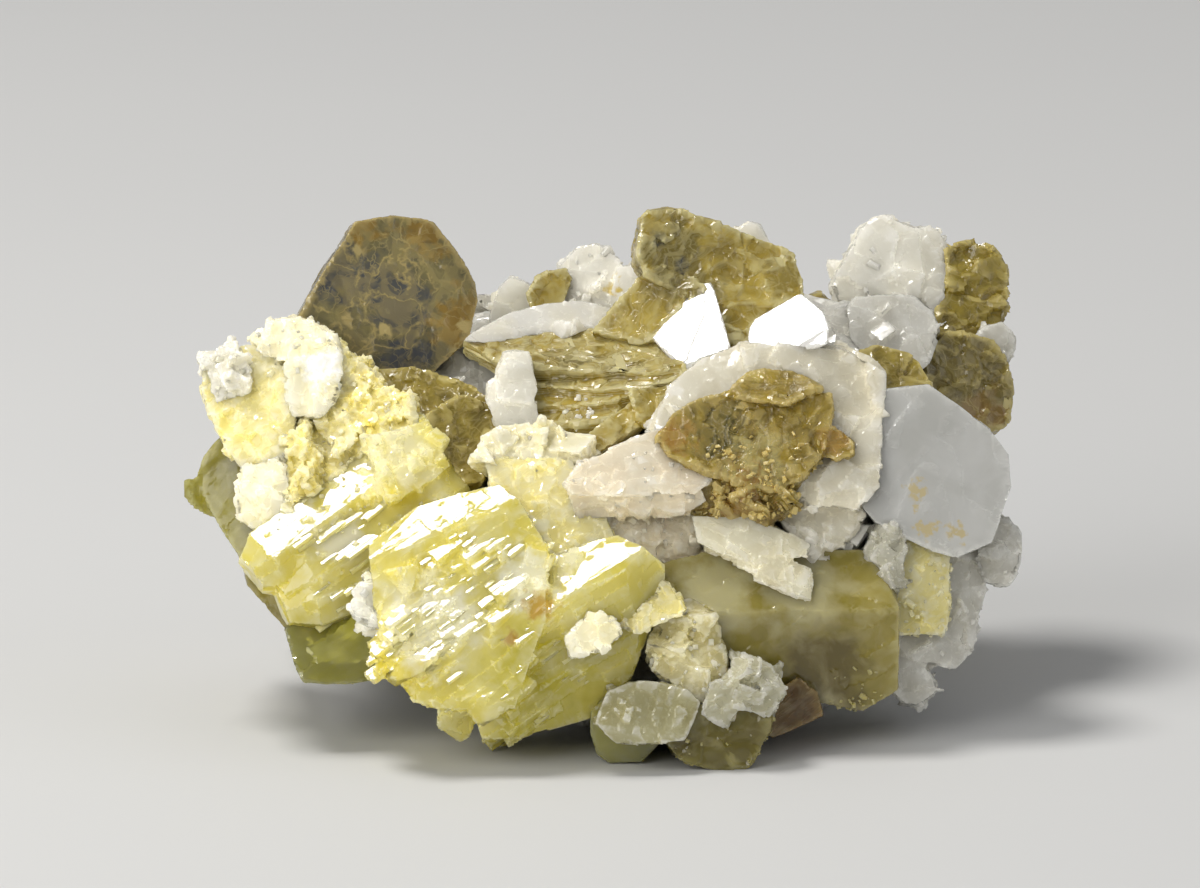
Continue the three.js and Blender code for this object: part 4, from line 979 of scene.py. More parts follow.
class Workshop:
    """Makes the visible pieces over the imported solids, and sets each one on its body."""

    # Where rays to the front start, and how far inside the box everything stays
    FAR = 60.0
    MARGIN = 0.002
    # Edges are sharp from this angle, and a point snaps to a face that looks the same way
    SHARP_FROM = 16
    SAME_SIDE = 0.5
    # Small crystals sit where the solid faces the viewer and nothing stands close over it
    TRIES = 6
    FACING = 0.1
    OFF_SURFACE = 0.03
    OVERREACH = 1.2
    HIDDEN_WITHIN = 0.7
    # How their size and shape vary, and where along them their tip starts
    SIZE_BIAS = 2.5
    STRETCH = (0.55, 1.4)
    JITTER = 0.15
    SHOULDER = 0.3
    # The outline of a leaf: its points' spacing, how deep it is rooted, and where its first and last lie
    RING_POINT = 0.26
    LEAF_DEPTH = 0.5
    LEAF_ENDS = (0.1, 0.05)
    LEAF_SHIFT = 7.1
    LEAF_SHARP_FROM = 50

    def __init__(self) -> None:
        """Reads the solids once."""
        self.solids = {name: welded(node.data) for name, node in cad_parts.items()}
        self.low, self.high = (np.array(corner) / MM for corner in CAD_BOX)
        points, triangles, start = [], [], 0
        for solid in self.solids.values():
            p, t = mesh_arrays(solid)
            points.append(p)
            triangles.append(t + start)
            start += len(p)
        self.whole = BVHTree.FromPolygons(np.vstack(points).tolist(), np.vstack(triangles).tolist())
        self.made: list[bpy.types.Object] = []

    def front_point(self, place: Place) -> Points:
        """The point of the solids that shows at a place in the front view."""
        start = Vector(world_of(np.array([*place, -self.FAR])))
        hit = self.whole.ray_cast(start, Vector(world_of(np.array([0.0, 0.0, 1.0]))))[0]
        return np.array(hit if hit else world_of(np.array([*place, 0.0])))

    def inside(self, points: Points) -> Points:
        """Keeps points in the box that the solids fill."""
        return np.clip(points, self.low + self.MARGIN, self.high - self.MARGIN)

    def finish(
        self, name: str, mesh: bpy.types.Mesh, finish: Finish, nodes: Sequence[str] = ()
    ) -> bpy.types.Object:
        """Turns a mesh into a piece of the cluster.

        Args:
            name: The piece's name.
            mesh: Its mesh, in metres.
            finish: Its finish.
            nodes: The solids that it stands for.

        Returns:
            The piece.
        """
        piece = bpy.data.objects.new(name, mesh)
        bpy.context.scene.collection.objects.link(piece)
        mesh.materials.clear()
        mesh.materials.append(finish.material(self))
        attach(piece, "root")
        if nodes:
            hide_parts(*nodes)
        self.made.append(piece)
        LOG.info("%s: %d faces, %s", name, len(mesh.polygons), finish.name)
        return piece

    @staticmethod
    def changed(mesh: bpy.types.Mesh, kind: str, **settings: Any) -> bpy.types.Mesh:
        """A mesh as one modifier leaves it.

        Args:
            mesh: The mesh, which isn't needed after this.
            kind: Blender's name for the modifier.
            settings: The modifier's settings.

        Returns:
            A new mesh.
        """
        carrier = bpy.data.objects.new("carrier", mesh)
        bpy.context.scene.collection.objects.link(carrier)
        modifier = carrier.modifiers.new(kind, kind)
        for name, value in settings.items():
            setattr(modifier, name, value)
        graph = bpy.context.evaluated_depsgraph_get()
        made = bpy.data.meshes.new_from_object(carrier.evaluated_get(graph))
        bpy.data.objects.remove(carrier)
        bpy.data.meshes.remove(mesh)
        return made

    def skin(self, skin: Skin) -> bpy.types.Object:
        """The visible surface of one solid.

        Args:
            skin: Its name, solid, finish, relief and mesh size.

        Returns:
            The piece, which stands for the solid.
        """
        solid = grown(self.solids[skin.node], GROW)
        if skin.crust:
            crust, faces = self.grains(skin.name, [skin.node], skin.crust, GROW)
            source, triangles = mesh_arrays(solid)
            faces = [[len(source) + k for k in face] for face in faces]
            solid = mesh_of(f"{skin.name}_crusted", np.vstack([source, crust]), [*triangles, *faces])
        source, triangles = mesh_arrays(solid)
        mesh = self.changed(solid, "REMESH", mode="VOXEL", voxel_size=skin.fineness * MM)
        points, _ = mesh_arrays(mesh)
        normals = vertex_normals(mesh)
        tree = BVHTree.FromPolygons(source.tolist(), triangles.tolist())
        snapped = points.copy()
        flat = normals.copy()
        for i, point in enumerate(points):
            place, normal, _, _ = tree.find_nearest(Vector(point))
            if place is not None and normal.dot(Vector(normals[i])) > self.SAME_SIDE:
                snapped[i] = place
                flat[i] = normal
        height = skin.relief.height(snapped, flat, seed_of(skin.name))
        put_points(mesh, snapped + flat * height[:, None])
        mesh = self.changed(mesh, "DECIMATE", ratio=KEPT)
        put_points(mesh, self.inside(mesh_arrays(mesh)[0]))
        shaded(mesh, self.SHARP_FROM)
        return self.finish(skin.name, mesh, skin.finish, [skin.node])

    def skins(self, *skins: Skin) -> None:
        """The visible surfaces of several solids."""
        for skin in skins:
            self.skin(skin)

    def seats(
        self, nodes: Sequence[str], druse: Druse, rng: np.random.Generator
    ) -> tuple[Points, Points]:
        """Picks places on the open surface of some solids for small crystals.

        Args:
            nodes: The solids.
            druse: How many crystals, and where.
            rng: Where the random numbers come from.

        Returns:
            The places in millimetres, and the normal at each.
        """
        corners = []
        for node in nodes:
            points, triangles = mesh_arrays(self.solids[node])
            corners.append(points[triangles])
        faces = np.vstack(corners)
        area, normal = facing(faces)
        if druse.centre is not None:
            seen = view_of(faces.mean(1))[:, :2]
            reach = druse.reach + np.sqrt(area)
            near = np.linalg.norm(seen - np.array(druse.centre), axis=1) < reach
            front = view_of(normal)[:, 2] < self.FACING
            area = area * near * front
        if area.sum() <= 0:
            return np.empty((0, 3)), np.empty((0, 3))
        pick = rng.choice(len(faces), druse.count * self.TRIES, p=area / area.sum())
        s, t = np.sqrt(rng.random(len(pick))), rng.random(len(pick))
        shares = np.stack([1 - s, s * (1 - t), s * t], 1)
        places = np.einsum("ij,ijk->ik", shares, faces[pick])
        kept_places, kept_normals = [], []
        for place, out in zip(places, normal[pick]):
            if len(kept_places) == druse.count:
                break
            if druse.centre is not None:
                off = view_of(place)[:2] - np.array(druse.centre)
                if np.linalg.norm(off) > druse.reach * math.sqrt(rng.random()) * self.OVERREACH:
                    continue
            start = Vector(place + out * self.OFF_SURFACE)
            if self.whole.ray_cast(start, Vector(out), self.HIDDEN_WITHIN)[0] is not None:
                continue
            kept_places.append(place)
            kept_normals.append(out)
        return np.array(kept_places).reshape(-1, 3), np.array(kept_normals).reshape(-1, 3)

    def grain(self, habit: Habit) -> tuple[Points, list[list[int]]]:
        """One small crystal, about 1 long, that stands up along z."""
        sides, length, width, blunt, slant = habit.value
        turn = np.arange(sides) * 2 * math.pi / sides + math.pi / 4
        ring = np.stack([np.cos(turn), np.sin(turn), np.zeros(sides)], 1)
        squash = np.array([0.5, 0.5 * width, 1.0])
        levels = ((1, -0.5), (1, self.SHOULDER), (blunt, 0.5))
        rings = [ring * squash * scale + [0, 0, z * length] for scale, z in levels]
        rings[2][:, 2] += slant * rings[2][:, 0]
        faces = [list(range(sides))[::-1], list(range(2 * sides, 3 * sides))]
        for level in (0, sides):
            for k in range(sides):
                after = (k + 1) % sides
                faces.append([level + k, level + after, level + sides + after, level + sides + k])
        return np.vstack(rings), faces

    def grains(
        self, name: str, nodes: Sequence[str], druses: Sequence[Druse], lift: float
    ) -> tuple[Points, list[list[int]]]:
        """The points and faces of small crystals on some solids.

        Args:
            name: The piece's name, which picks how they are strewn.
            nodes: The solids that they sit on.
            druses: Where they sit, and their shape and size.
            lift: How far out of the solids their feet are.

        Returns:
            The points in millimetres, and the faces.
        """
        all_points, all_faces, start = [np.empty((0, 3))], [], 0
        rng = np.random.default_rng(seed_of(name))
        for druse in druses:
            places, normals = self.seats(nodes, druse, rng)
            template, faces = self.grain(druse.habit)
            for place, out in zip(places, normals):
                up = world_of(np.array(druse.along)) if druse.along else out
                up = up + rng.normal(0, druse.spread, 3)
                up = up / np.linalg.norm(up)
                side = np.cross(up, face_normal(druse.level) if druse.along else rng.normal(0, 1, 3))
                side /= np.linalg.norm(side) + TINY
                turn = np.stack([side, np.cross(up, side), up])
                least, most = druse.size
                size = least + (most - least) * rng.random() ** self.SIZE_BIAS
                jitter = 1 + rng.normal(0, self.JITTER * druse.spread, template.shape)
                seat = place + out * (lift + size * druse.stand)
                shape = template * jitter * size * rng.uniform(*self.STRETCH, 3)
                all_points.append(shape @ turn + seat)
                all_faces.extend([[start + k for k in face] for face in faces])
                start += len(template)
        return np.vstack(all_points), all_faces

    def druse(
        self, name: str, nodes: Sequence[str], finish: Finish, *druses: Druse
    ) -> Optional[bpy.types.Object]:
        """Small crystals on some solids, joined in one piece.

        Args:
            name: The piece's name.
            nodes: The solids that they sit on.
            finish: Their finish.
            druses: Where they sit, and their shape and size.

        Returns:
            The piece, or nothing where no place was open.
        """
        points, faces = self.grains(name, nodes, druses, GROW)
        if not faces:
            return None
        return self.finish(name, mesh_of(name, self.inside(points), faces), finish.grain())

    def leaves(self, name: str, node: str, finish: Finish, leaves: Leaves) -> bpy.types.Object:
        """The edges of the leaves that stand out of a book.

        Args:
            name: The piece's name.
            node: The book's solid.
            finish: Their finish.
            leaves: How the leaves lie.

        Returns:
            The piece.
        """
        points, triangles = mesh_arrays(self.solids[node])
        normal = face_normal(leaves.slope)
        noise = Noise(seed_of(name))
        rng = np.random.default_rng(seed_of(name))
        depths = points @ normal
        low, high = depths.min(), depths.max()
        all_points, all_faces, start = [], [], 0
        first, last = self.LEAF_ENDS
        for level in np.arange(low + first, high - last, leaves.spacing):
            share = rng.uniform(leaves.shortest, 1.0)
            for loop in slice_loops(points, triangles, normal, level):
                ring = even_loop(loop, self.RING_POINT)
                middle = ring.mean(0)
                along = np.roll(ring, -1, 0) - np.roll(ring, 1, 0)
                out = np.cross(along, normal)
                out /= np.linalg.norm(out, axis=1, keepdims=True) + TINY
                if np.sum(out * (ring - middle)) < 0:
                    out = -out
                torn = leaves.torn * noise.rough(ring + level * self.LEAF_SHIFT, leaves.torn_size)
                rim = ring + out * (leaves.stand * share * (leaves.whole + torn))[:, None]
                heart = ring - out * self.LEAF_DEPTH
                wave = (leaves.wave * noise.smooth(ring, leaves.wave_size))[:, None] * normal
                half = normal * leaves.thickness / 2
                stack = [rim + half, rim - half, heart - half, heart + half]
                all_points.extend(part + wave for part in stack)
                count = len(ring)
                for row in range(4):
                    here, there = start + row * count, start + ((row + 1) % 4) * count
                    for k in range(count):
                        after = (k + 1) % count
                        all_faces.append([here + k, here + after, there + after, there + k])
                start += 4 * count
        mesh = mesh_of(name, self.inside(np.vstack(all_points)), all_faces)
        work = bmesh.new()
        work.from_mesh(mesh)
        bmesh.ops.recalc_face_normals(work, faces=work.faces)
        work.to_mesh(mesh)
        work.free()
        shaded(mesh, self.LEAF_SHARP_FROM)
        return self.finish(name, mesh, finish)


DRUSY_FINENESS = 0.11
DRUSY_RELIEF = Relief(shards=0.16, shard_size=0.8)
DRUSY_CRUST = (Druse(14, (1.0, 2.4), Habit.BLADE, stand=-0.2),)


def drusy(name: str, node: str, finish: Finish) -> Skin:
    """A skin for a solid that stands for a druse of small blades."""
    return Skin(name, node, finish, DRUSY_RELIEF, DRUSY_FINENESS, DRUSY_CRUST)


@dataclass
class FrontCrystals:
    """The large brazilianite in front, with its overgrowths and the broken bits of albite on it."""

    shop: Workshop
    step: float = 0.2
    overgrowth: Place = (0.4, 1.5)
    large_overgrowth: Place = (0.6, 2.4)
    small_overgrowth: Place = (0.2, 0.8)
    crumb: Place = (0.5, 1.5)

    def finish(self) -> Finish:
        """Pale yellow, deeper and clearer at the bottom, with cream patches, a whitish painted highlight
        over the glinting lower left, and two rusty stains.
        """
        return replace(PALE_YELLOW, name="brazilianite front", spots=(
            Spot((-4.5, 1.5), 6.5, (0.55, 0.475, 0.055), 0.4, 2.5),
            # A whitish patch painted over the glinting lower left of the face: a painted highlight
            Spot((-12.0, 6.5), 4.6, (0.88, 0.84, 0.62), 0.5, 1.5),
            Spot((-5.0, 9.5), 3.0, (0.90, 0.86, 0.62), 0.6, 1.2),
            Spot((-2.6, 10.8), 2.6, (0.88, 0.83, 0.55), 0.6, 1.2),
            Spot((-4.2, 7.6), 1.5, (0.60, 0.38, 0.06)),
            Spot((-6.1, 5.5), 0.8, (0.55, 0.32, 0.05)),
        ))

    def build(self) -> None:
        """Makes the crystal, its overgrowths and its chips."""
        shop, node = self.shop, "brazilianite_front"
        relief = Relief(steps=self.step, step_size=0.8, step_length=3.5, lumps=0.07)
        parallel = {"habit": Habit.LATH, "along": GROWTH_AXIS, "spread": 0.02}
        shop.skin(Skin("front_crystal", node, self.finish(), relief, 0.13, (
            Druse(60, self.overgrowth, centre=(-7.8, 10.4), reach=3.8, stand=-0.2, **parallel),
            Druse(90, self.overgrowth, centre=(-12.2, 5.4), reach=2.8, stand=-0.15, **parallel),
            Druse(40, self.crumb, centre=(-12.4, 10.4), reach=2.0, stand=-0.35),
            Druse(40, self.crumb, centre=(-4.8, 9.6), reach=2.2, stand=-0.35),
            Druse(26, self.crumb, centre=(-11.5, 1.8), reach=2.0, stand=-0.2),
            Druse(26, (1.0, 2.6), centre=(-2.6, 10.8), reach=2.2, stand=-0.35),
            Druse(40, self.large_overgrowth, centre=(-2.2, 5.6), reach=3.2, stand=-0.3, **parallel),
            Druse(30, self.large_overgrowth, centre=(-6.5, 0.8), reach=3.0, stand=-0.3, **parallel),
            Druse(24, (0.6, 1.8), centre=(-8.5, 13.2), reach=2.6, stand=-0.4),
        )))
        shop.druse(
            "front_crystal_overgrowths", [node], PALE_YELLOW,
            Druse(60, self.small_overgrowth, centre=(-8.2, 10.4), reach=3.4, stand=-0.1, **parallel),
            Druse(70, self.small_overgrowth, centre=(-12.2, 5.4), reach=2.4, stand=-0.1, **parallel),
            Druse(40, (0.2, 0.7), centre=(-6, 6), reach=6, **parallel),
        )
        for side, finish, place in (
            ("left", ICY, (-15.6, 8.0)),
            ("right", replace(CREAM_YELLOW, name="albite cream", slot="albite"), (-0.4, 6.3)),
            ("middle", ICY_WARM, (3.2, 7.6)),
        ):
            chip = f"albite_{side}_chip"
            crust = (Druse(16, (0.6, 1.6), Habit.BLADE, centre=place, reach=1.8, stand=-0.2),)
            shop.skin(Skin(f"{side}_chip", chip, finish, Relief(shards=0.28, shard_size=1.3), 0.12, crust))
            grains = Druse(24, (0.25, 0.8), centre=place, reach=2.4, stand=-0.1)
            shop.druse(f"{side}_chip_grains", [chip], finish, grains)


@dataclass
class LeftCrystals:
    """The parallel prisms at the left and the greener crystals by them."""

    shop: Workshop
    step: float = 0.2
    crumb: Place = (0.2, 0.6)

    def build(self) -> None:
        """Makes the prisms and their neighbours."""
        shop, prisms = self.shop, "brazilianite_left_prisms"
        relief = Relief(steps=self.step, step_size=1.3, step_length=7, lumps=0.05)
        cream = (0.88, 0.82, 0.50)
        body = replace(PALE_YELLOW, name="brazilianite left", spots=(
            Spot((-14.2, 18.0), 4.2, cream, 0.5, 1.5),
            Spot((-18.5, 13.0), 2.8, cream, 0.8, 1.5),
            Spot((-13.5, 11.5), 2.6, cream, 0.8, 1.5),
        ))
        shop.skin(Skin("left_prisms", prisms, body, relief, 0.15, (
            Druse(30, (0.4, 1.4), centre=(-18.8, 14.6), reach=4.5, stand=-0.3),
            Druse(70, (0.6, 2.0), centre=(-14.0, 18.2), reach=3.2, stand=-0.25),
            Druse(24, (0.5, 1.4), centre=(-14, 11.5), reach=2.4, stand=-0.3),
        )))
        crumbs = Druse(24, self.crumb, centre=(-18, 14.5), reach=5)
        shop.druse("left_prisms_crumbs", [prisms], CREAM_YELLOW, crumbs)
        shop.druse(
            "left_prisms_overgrowths", [prisms], PALE_YELLOW,
            Druse(36, (0.25, 1.1), Habit.LATH, (-17, 10.5), 5, GROWTH_AXIS, spread=0.015, stand=-0.1),
        )
        relief = Relief(steps=0.12, step_size=1.1, step_length=5, lumps=0.06)
        for name, finish in (("lower_left", CLEAR_YELLOW), ("far_left", GREENISH), ("left_side", OLIVE)):
            shop.skin(Skin(f"{name}_crystal", f"brazilianite_{name}", finish, relief, 0.23))


@dataclass
class UpperLeft:
    """Pale masses under and beside the upright book."""

    shop: Workshop
    grain: Place = (0.6, 1.8)
    large_grain: Place = (0.9, 2.6)
    crumb: Place = (0.25, 0.7)

    def block(self) -> Finish:
        """Warm white with a whiter patch and one dark speck."""
        return replace(ICY_WARM, name="albite upper left", spots=(
            Spot((-19.5, 25.0), 0.16, (0.02, 0.02, 0.02), 0.1),
            Spot((-19.2, 24.2), 2.0, (0.9, 0.9, 0.88)),
        ))

    def build(self) -> None:
        """Makes the blocks, the grainy crust and the corner druse."""
        shop = self.shop
        striped = Relief(
            steps=0.14, step_size=0.6, step_length=2.5, axis=(0.15, 0.95, 0.2), shards=0.25, shard_size=1.3
        )
        shop.skins(
            Skin(
                "upper_left_block", "albite_upper_left_block", self.block(), striped, 0.14,
                (Druse(16, self.grain, Habit.BLADE, centre=(-21.8, 26.3), reach=2.6, stand=-0.2),),
            ),
            drusy("corner_druse", "albite_corner_druse", ICY.grain()),
            Skin(
                "left_face", "albite_left_face", ICY_WARM,
                Relief(shards=0.3, shard_size=1.6, fine=0.4), 0.14,
                (Druse(10, self.grain, Habit.BLADE, stand=-0.3),),
            ),
            Skin(
                "upper_left_crystal", "brazilianite_upper_left", CREAM_YELLOW,
                Relief(shards=0.3, shard_size=1.8, fine=0.4), 0.15,
                (Druse(24, self.large_grain, centre=(-23.6, 22), reach=5, stand=-0.35),),
            ),
            Skin(
                "grainy_crust", "brazilianite_grainy_crust", CREAM_YELLOW.grain(),
                Relief(shards=0.36, shard_size=1.1, fine=0.5), 0.14, (
                    Druse(50, self.large_grain, centre=(-17, 19.5), reach=6.5, stand=-0.35),
                    Druse(30, self.grain, Habit.BLADE, centre=(-15, 20.5), reach=4.5, stand=-0.2),
                ),
            ),
        )
        shop.druse(
            "grainy_crust_crystals", ["brazilianite_grainy_crust", "brazilianite_upper_left"], CREAM_YELLOW,
            Druse(70, (0.2, 0.6), centre=(-17, 19.5), reach=6.5, stand=-0.1),
        )
        shop.druse(
            "upper_left_grains",
            ["albite_corner_druse", "albite_left_face", "albite_upper_left_block"], ICY_WARM,
            Druse(60, self.crumb, centre=(-25.3, 24), reach=2.6),
            Druse(30, self.crumb, centre=(-21.5, 26.5), reach=2.4),
        )


@dataclass
class MiddleCrystals:
    """Albite and the pale brazilianite between the front crystal and the sheaf."""

    shop: Workshop
    grain: Place = (0.6, 1.7)
    blade: Place = (0.8, 2.4)

    def build(self) -> None:
        """Makes the cap, the blocks, the small prism and the pale crystal."""
        shop = self.shop
        blades = {"habit": Habit.BLADE, "along": (0.8, -0.5, -0.3), "level": (0.2, 0.6), "spread": 0.25}
        stepped = Relief(steps=0.16, step_size=0.9, axis=(0.95, 0.25, 0.1), shards=0.15, shard_size=2.0)
        shop.skins(
            drusy("white_cap", "albite_white_cap", ICY_WARM.grain()),
            Skin(
                "middle_crystal", "brazilianite_middle", CREAM_YELLOW,
                Relief(shards=0.2, shard_size=1.6, fine=0.4), 0.15,
                (Druse(20, self.grain, centre=(-4.5, 16.8), reach=2.8, stand=-0.3),),
            ),
            Skin(
                "dull_block", "albite_dull_block", replace(PINKISH, slot="albite_grey"),
                Relief(shards=0.3, shard_size=1.2, fine=0.4), 0.14,
                (Druse(24, self.blade, centre=(3.5, 12.8), reach=3.5, stand=-0.2, **blades),),
            ),
            Skin(
                "pink_block", "albite_pink_block", PINKISH, stepped, 0.14,
                (Druse(30, self.blade, centre=(3.2, 14.8), reach=3.4, stand=-0.15, **blades),),
            ),
            Skin("small_prism", "albite_small_prism", WHITE, Relief(shards=0.2, shard_size=1.5), 0.13),
        )
        shop.druse(
            "middle_grains", ["albite_dull_block", "albite_pink_block", "albite_white_cap"], PINKISH,
            Druse(40, (0.25, 0.7), centre=(4, 14), reach=4),
            Druse(40, (0.2, 0.6), centre=(-4, 18.6), reach=4),
        )


@dataclass
class BottomCrystals:
    """Small crystals along the bottom edge."""

    shop: Workshop
    grain: Place = (0.6, 1.7)

    def build(self) -> None:
        """Makes the plate, the druses and the small yellow crystals."""
        shop = self.shop
        milky = replace(
            ICY, name="albite milky", slot="albite_grey", transmission=0.3,
            first=(0.62, 0.595, 0.45), second=(0.50, 0.475, 0.31),
        )
        pale = replace(
            CREAM_YELLOW, name="albite pale cluster", slot="albite", first=(0.66, 0.60, 0.36),
            second=(0.52, 0.45, 0.20),
        )
        plate = replace(
            GREY, name="albite bottom plate", first=(0.44, 0.41, 0.24), second=(0.31, 0.28, 0.13)
        )
        # Painted shade: darkened far below the olive crystals' own colour, for the bottom crystal that lies
        # in shadow
        olive = replace(
            OLIVE, name="brazilianite bottom", first=(0.20, 0.165, 0.03), second=(0.13, 0.10, 0.012),
            edge=(0.50, 0.44, 0.15),
        )
        yellow = replace(CLEAR_YELLOW, slot="brazilianite")
        faceted = Relief(shards=0.12, shard_size=1.8)
        shop.skins(
            Skin(
                "bottom_plate", "albite_bottom_plate", plate,
                Relief(steps=0.1, step_size=0.5, axis=(0.3, 0.9, 0.2), shards=0.1), 0.14,
                (Druse(8, self.grain, centre=(1.2, 0.8), reach=1.6, stand=-0.2),),
            ),
            drusy("bottom_druse", "albite_bottom_druse", milky),
            Skin(
                "pale_cluster", "albite_pale_cluster", pale, Relief(shards=0.2, shard_size=1.0), 0.12,
                (Druse(24, self.grain, stand=-0.25),),
            ),
            Skin("small_yellow_crystal", "brazilianite_lower_yellow", yellow),
            Skin("small_olive_crystal", "brazilianite_bottom_olive", olive, faceted),
            Skin("small_brown_crystal", "brazilianite_bottom_brown", BROWN, Relief(steps=0.12)),
        )
        crusted = ["albite_bottom_druse", "albite_pale_cluster"]
        shop.druse("bottom_grains", crusted, ICY_WARM, Druse(80, (0.25, 0.7)))
        shop.druse("bottom_crumbs", ["brazilianite_bottom_olive"], OLIVE, Druse(60, (0.15, 0.5)))


@dataclass
class RightCrystals:
    """The broad brazilianite at the lower right, with the plates and blades round it."""

    shop: Workshop
    blade: Place = (0.9, 2.8)
    grain: Place = (0.6, 1.7)
    crumb: Place = (0.25, 0.7)

    def broad(self) -> Finish:
        """Olive below and frosted pale above, with painted shade darkening the lower right."""
        return replace(OLIVE, name="brazilianite broad", spots=(
            Spot((8.0, 8.5), 4.2, (0.58, 0.52, 0.25), 0.5, 2.0),
            Spot((14.0, 8.6), 4.2, (0.54, 0.48, 0.23), 0.5, 2.0),
            # Painted shade: the lower right, which lies in shade, darkened nearly to black-brown
            Spot((15.5, 3.0), 4.5, (0.15, 0.11, 0.012), 0.4, 2.0),
        ))

    def stained(self) -> Finish:
        """Grey with a few yellow stains."""
        places = (((21.9, 15.6), 0.9), ((21.9, 14.4), 0.5), ((22.7, 12.9), 1.0), ((24.6, 12.7), 0.9))
        return replace(
            GREY, name="albite stained", first=(0.56, 0.555, 0.525), second=(0.48, 0.475, 0.44),
            roughness=(0.1, 0.25), bump=0.05,
            spots=tuple(Spot(place, reach, (0.55, 0.46, 0.26), 1.0, 0.5) for place, reach in places),
        )

    def build(self) -> None:
        """Makes the crystals of the right side."""
        shop, blade, grain = self.shop, self.blade, self.grain
        low = replace(
            PINKISH, name="albite low blades", first=(0.74, 0.70, 0.53), second=(0.62, 0.56, 0.37)
        )
        ridge = replace(WHITE, name="albite ridge", first=(0.70, 0.66, 0.53), second=(0.61, 0.56, 0.42))
        icy = replace(
            WHITE, name="albite druse", slot="albite_grey", transmission=0.25,
            first=(0.70, 0.68, 0.57), second=(0.58, 0.555, 0.43),
        )
        terraced = Relief(
            steps=0.1, step_size=2.2, step_length=5, axis=(0.5, 0.8, 0.3), terraces=0.15, terrace_size=6.0
        )
        leaning = {"habit": Habit.BLADE, "level": (0.3, 0.5), "along": (0.75, -0.6, -0.2), "stand": -0.15}
        shop.skins(
            Skin(
                "broad_crystal", "brazilianite_right", self.broad(),
                Relief(steps=0.12, step_size=1.6, step_length=6, lumps=0.14), 0.21,
            ),
            Skin(
                "low_blades", "albite_low_blades", low,
                Relief(steps=0.18, step_size=0.7, axis=(0.9, -0.35, -0.2)), 0.13,
                (Druse(40, blade, Habit.BLADE, (11, 11.6), 4, (0.9, -0.35, -0.2), (0.2, 0.5), 0.2, -0.15),),
            ),
            drusy("right_druse", "albite_right_druse", icy),
            Skin(
                "square_crystal", "brazilianite_right_square", CREAM_YELLOW,
                Relief(shards=0.15, shard_size=1.2), 0.14,
            ),
            Skin(
                "lower_right_plate", "albite_lower_right_plate", GREY,
                Relief(shards=0.2, shard_size=1.6), 0.16, (
                    Druse(24, grain, Habit.BLADE, (25.4, 7), 3, stand=-0.2),
                    Druse(24, grain, Habit.BLADE, (22, 3), 3, stand=-0.2),
                ),
            ),
            Skin(
                "small_pair", "albite_small_pair", GREY, Relief(shards=0.2, shard_size=1.2), 0.13,
                (Druse(12, grain, Habit.BLADE, stand=-0.25),),
            ),
            Skin(
                "ridge", "albite_ridge", ridge,
                Relief(shards=0.42, shard_size=3.2, terraces=0.3, terrace_size=5.0), 0.18, (
                    Druse(30, blade, centre=(11, 12.5), reach=4.5, spread=0.2, **leaning),
                    Druse(
                        20, blade, Habit.BLADE, (4.6, 21.5), 4, (0.6, 0.75, 0.2), (-0.1, 0.5), 0.15, -0.3
                    ),
                    Druse(24, blade, centre=(15.4, 13), reach=3, spread=0.25, **leaning),
                ),
            ),
            Skin("right_blade", "albite_right_blade", self.stained(), terraced, 0.16),
        )
        shop.druse(
            "gap_blades", ["albite_matrix", "albite_ridge", "brazilianite_right"], WHITE,
            Druse(90, (1.0, 2.6), Habit.BLADE, (18.4, 12.6), 1.8, (0.5, 0.8, 0.1), (0.3, 0.5), 0.25, 0.2),
        )
        crusted = ["albite_right_druse", "albite_small_pair", "albite_lower_right_plate"]
        shop.druse("right_grains", crusted, WHITE, Druse(70, self.crumb, stand=-0.1))
        square = ["brazilianite_right_square"]
        shop.druse("square_crystal_grains", square, CREAM_YELLOW, Druse(60, (0.2, 0.6)))
        crumbs = Druse(110, (0.15, 0.5), centre=(18.0, 1.6), reach=1.8)
        shop.druse("broad_crystal_crumbs", ["brazilianite_right"], OLIVE, crumbs)


@dataclass(frozen=True)
class Book:
    """One muscovite book: its name, its solid, its finish, how its leaves lie and how it is creased."""

    name: str
    node: str
    finish: MuscoviteFinish
    leaves: Leaves
    creases: float = 0.05
    crease_size: float = 2.2
    spots: tuple[Spot, ...] = ()
    terraces: float = 0.22
    shards: float = 0.14


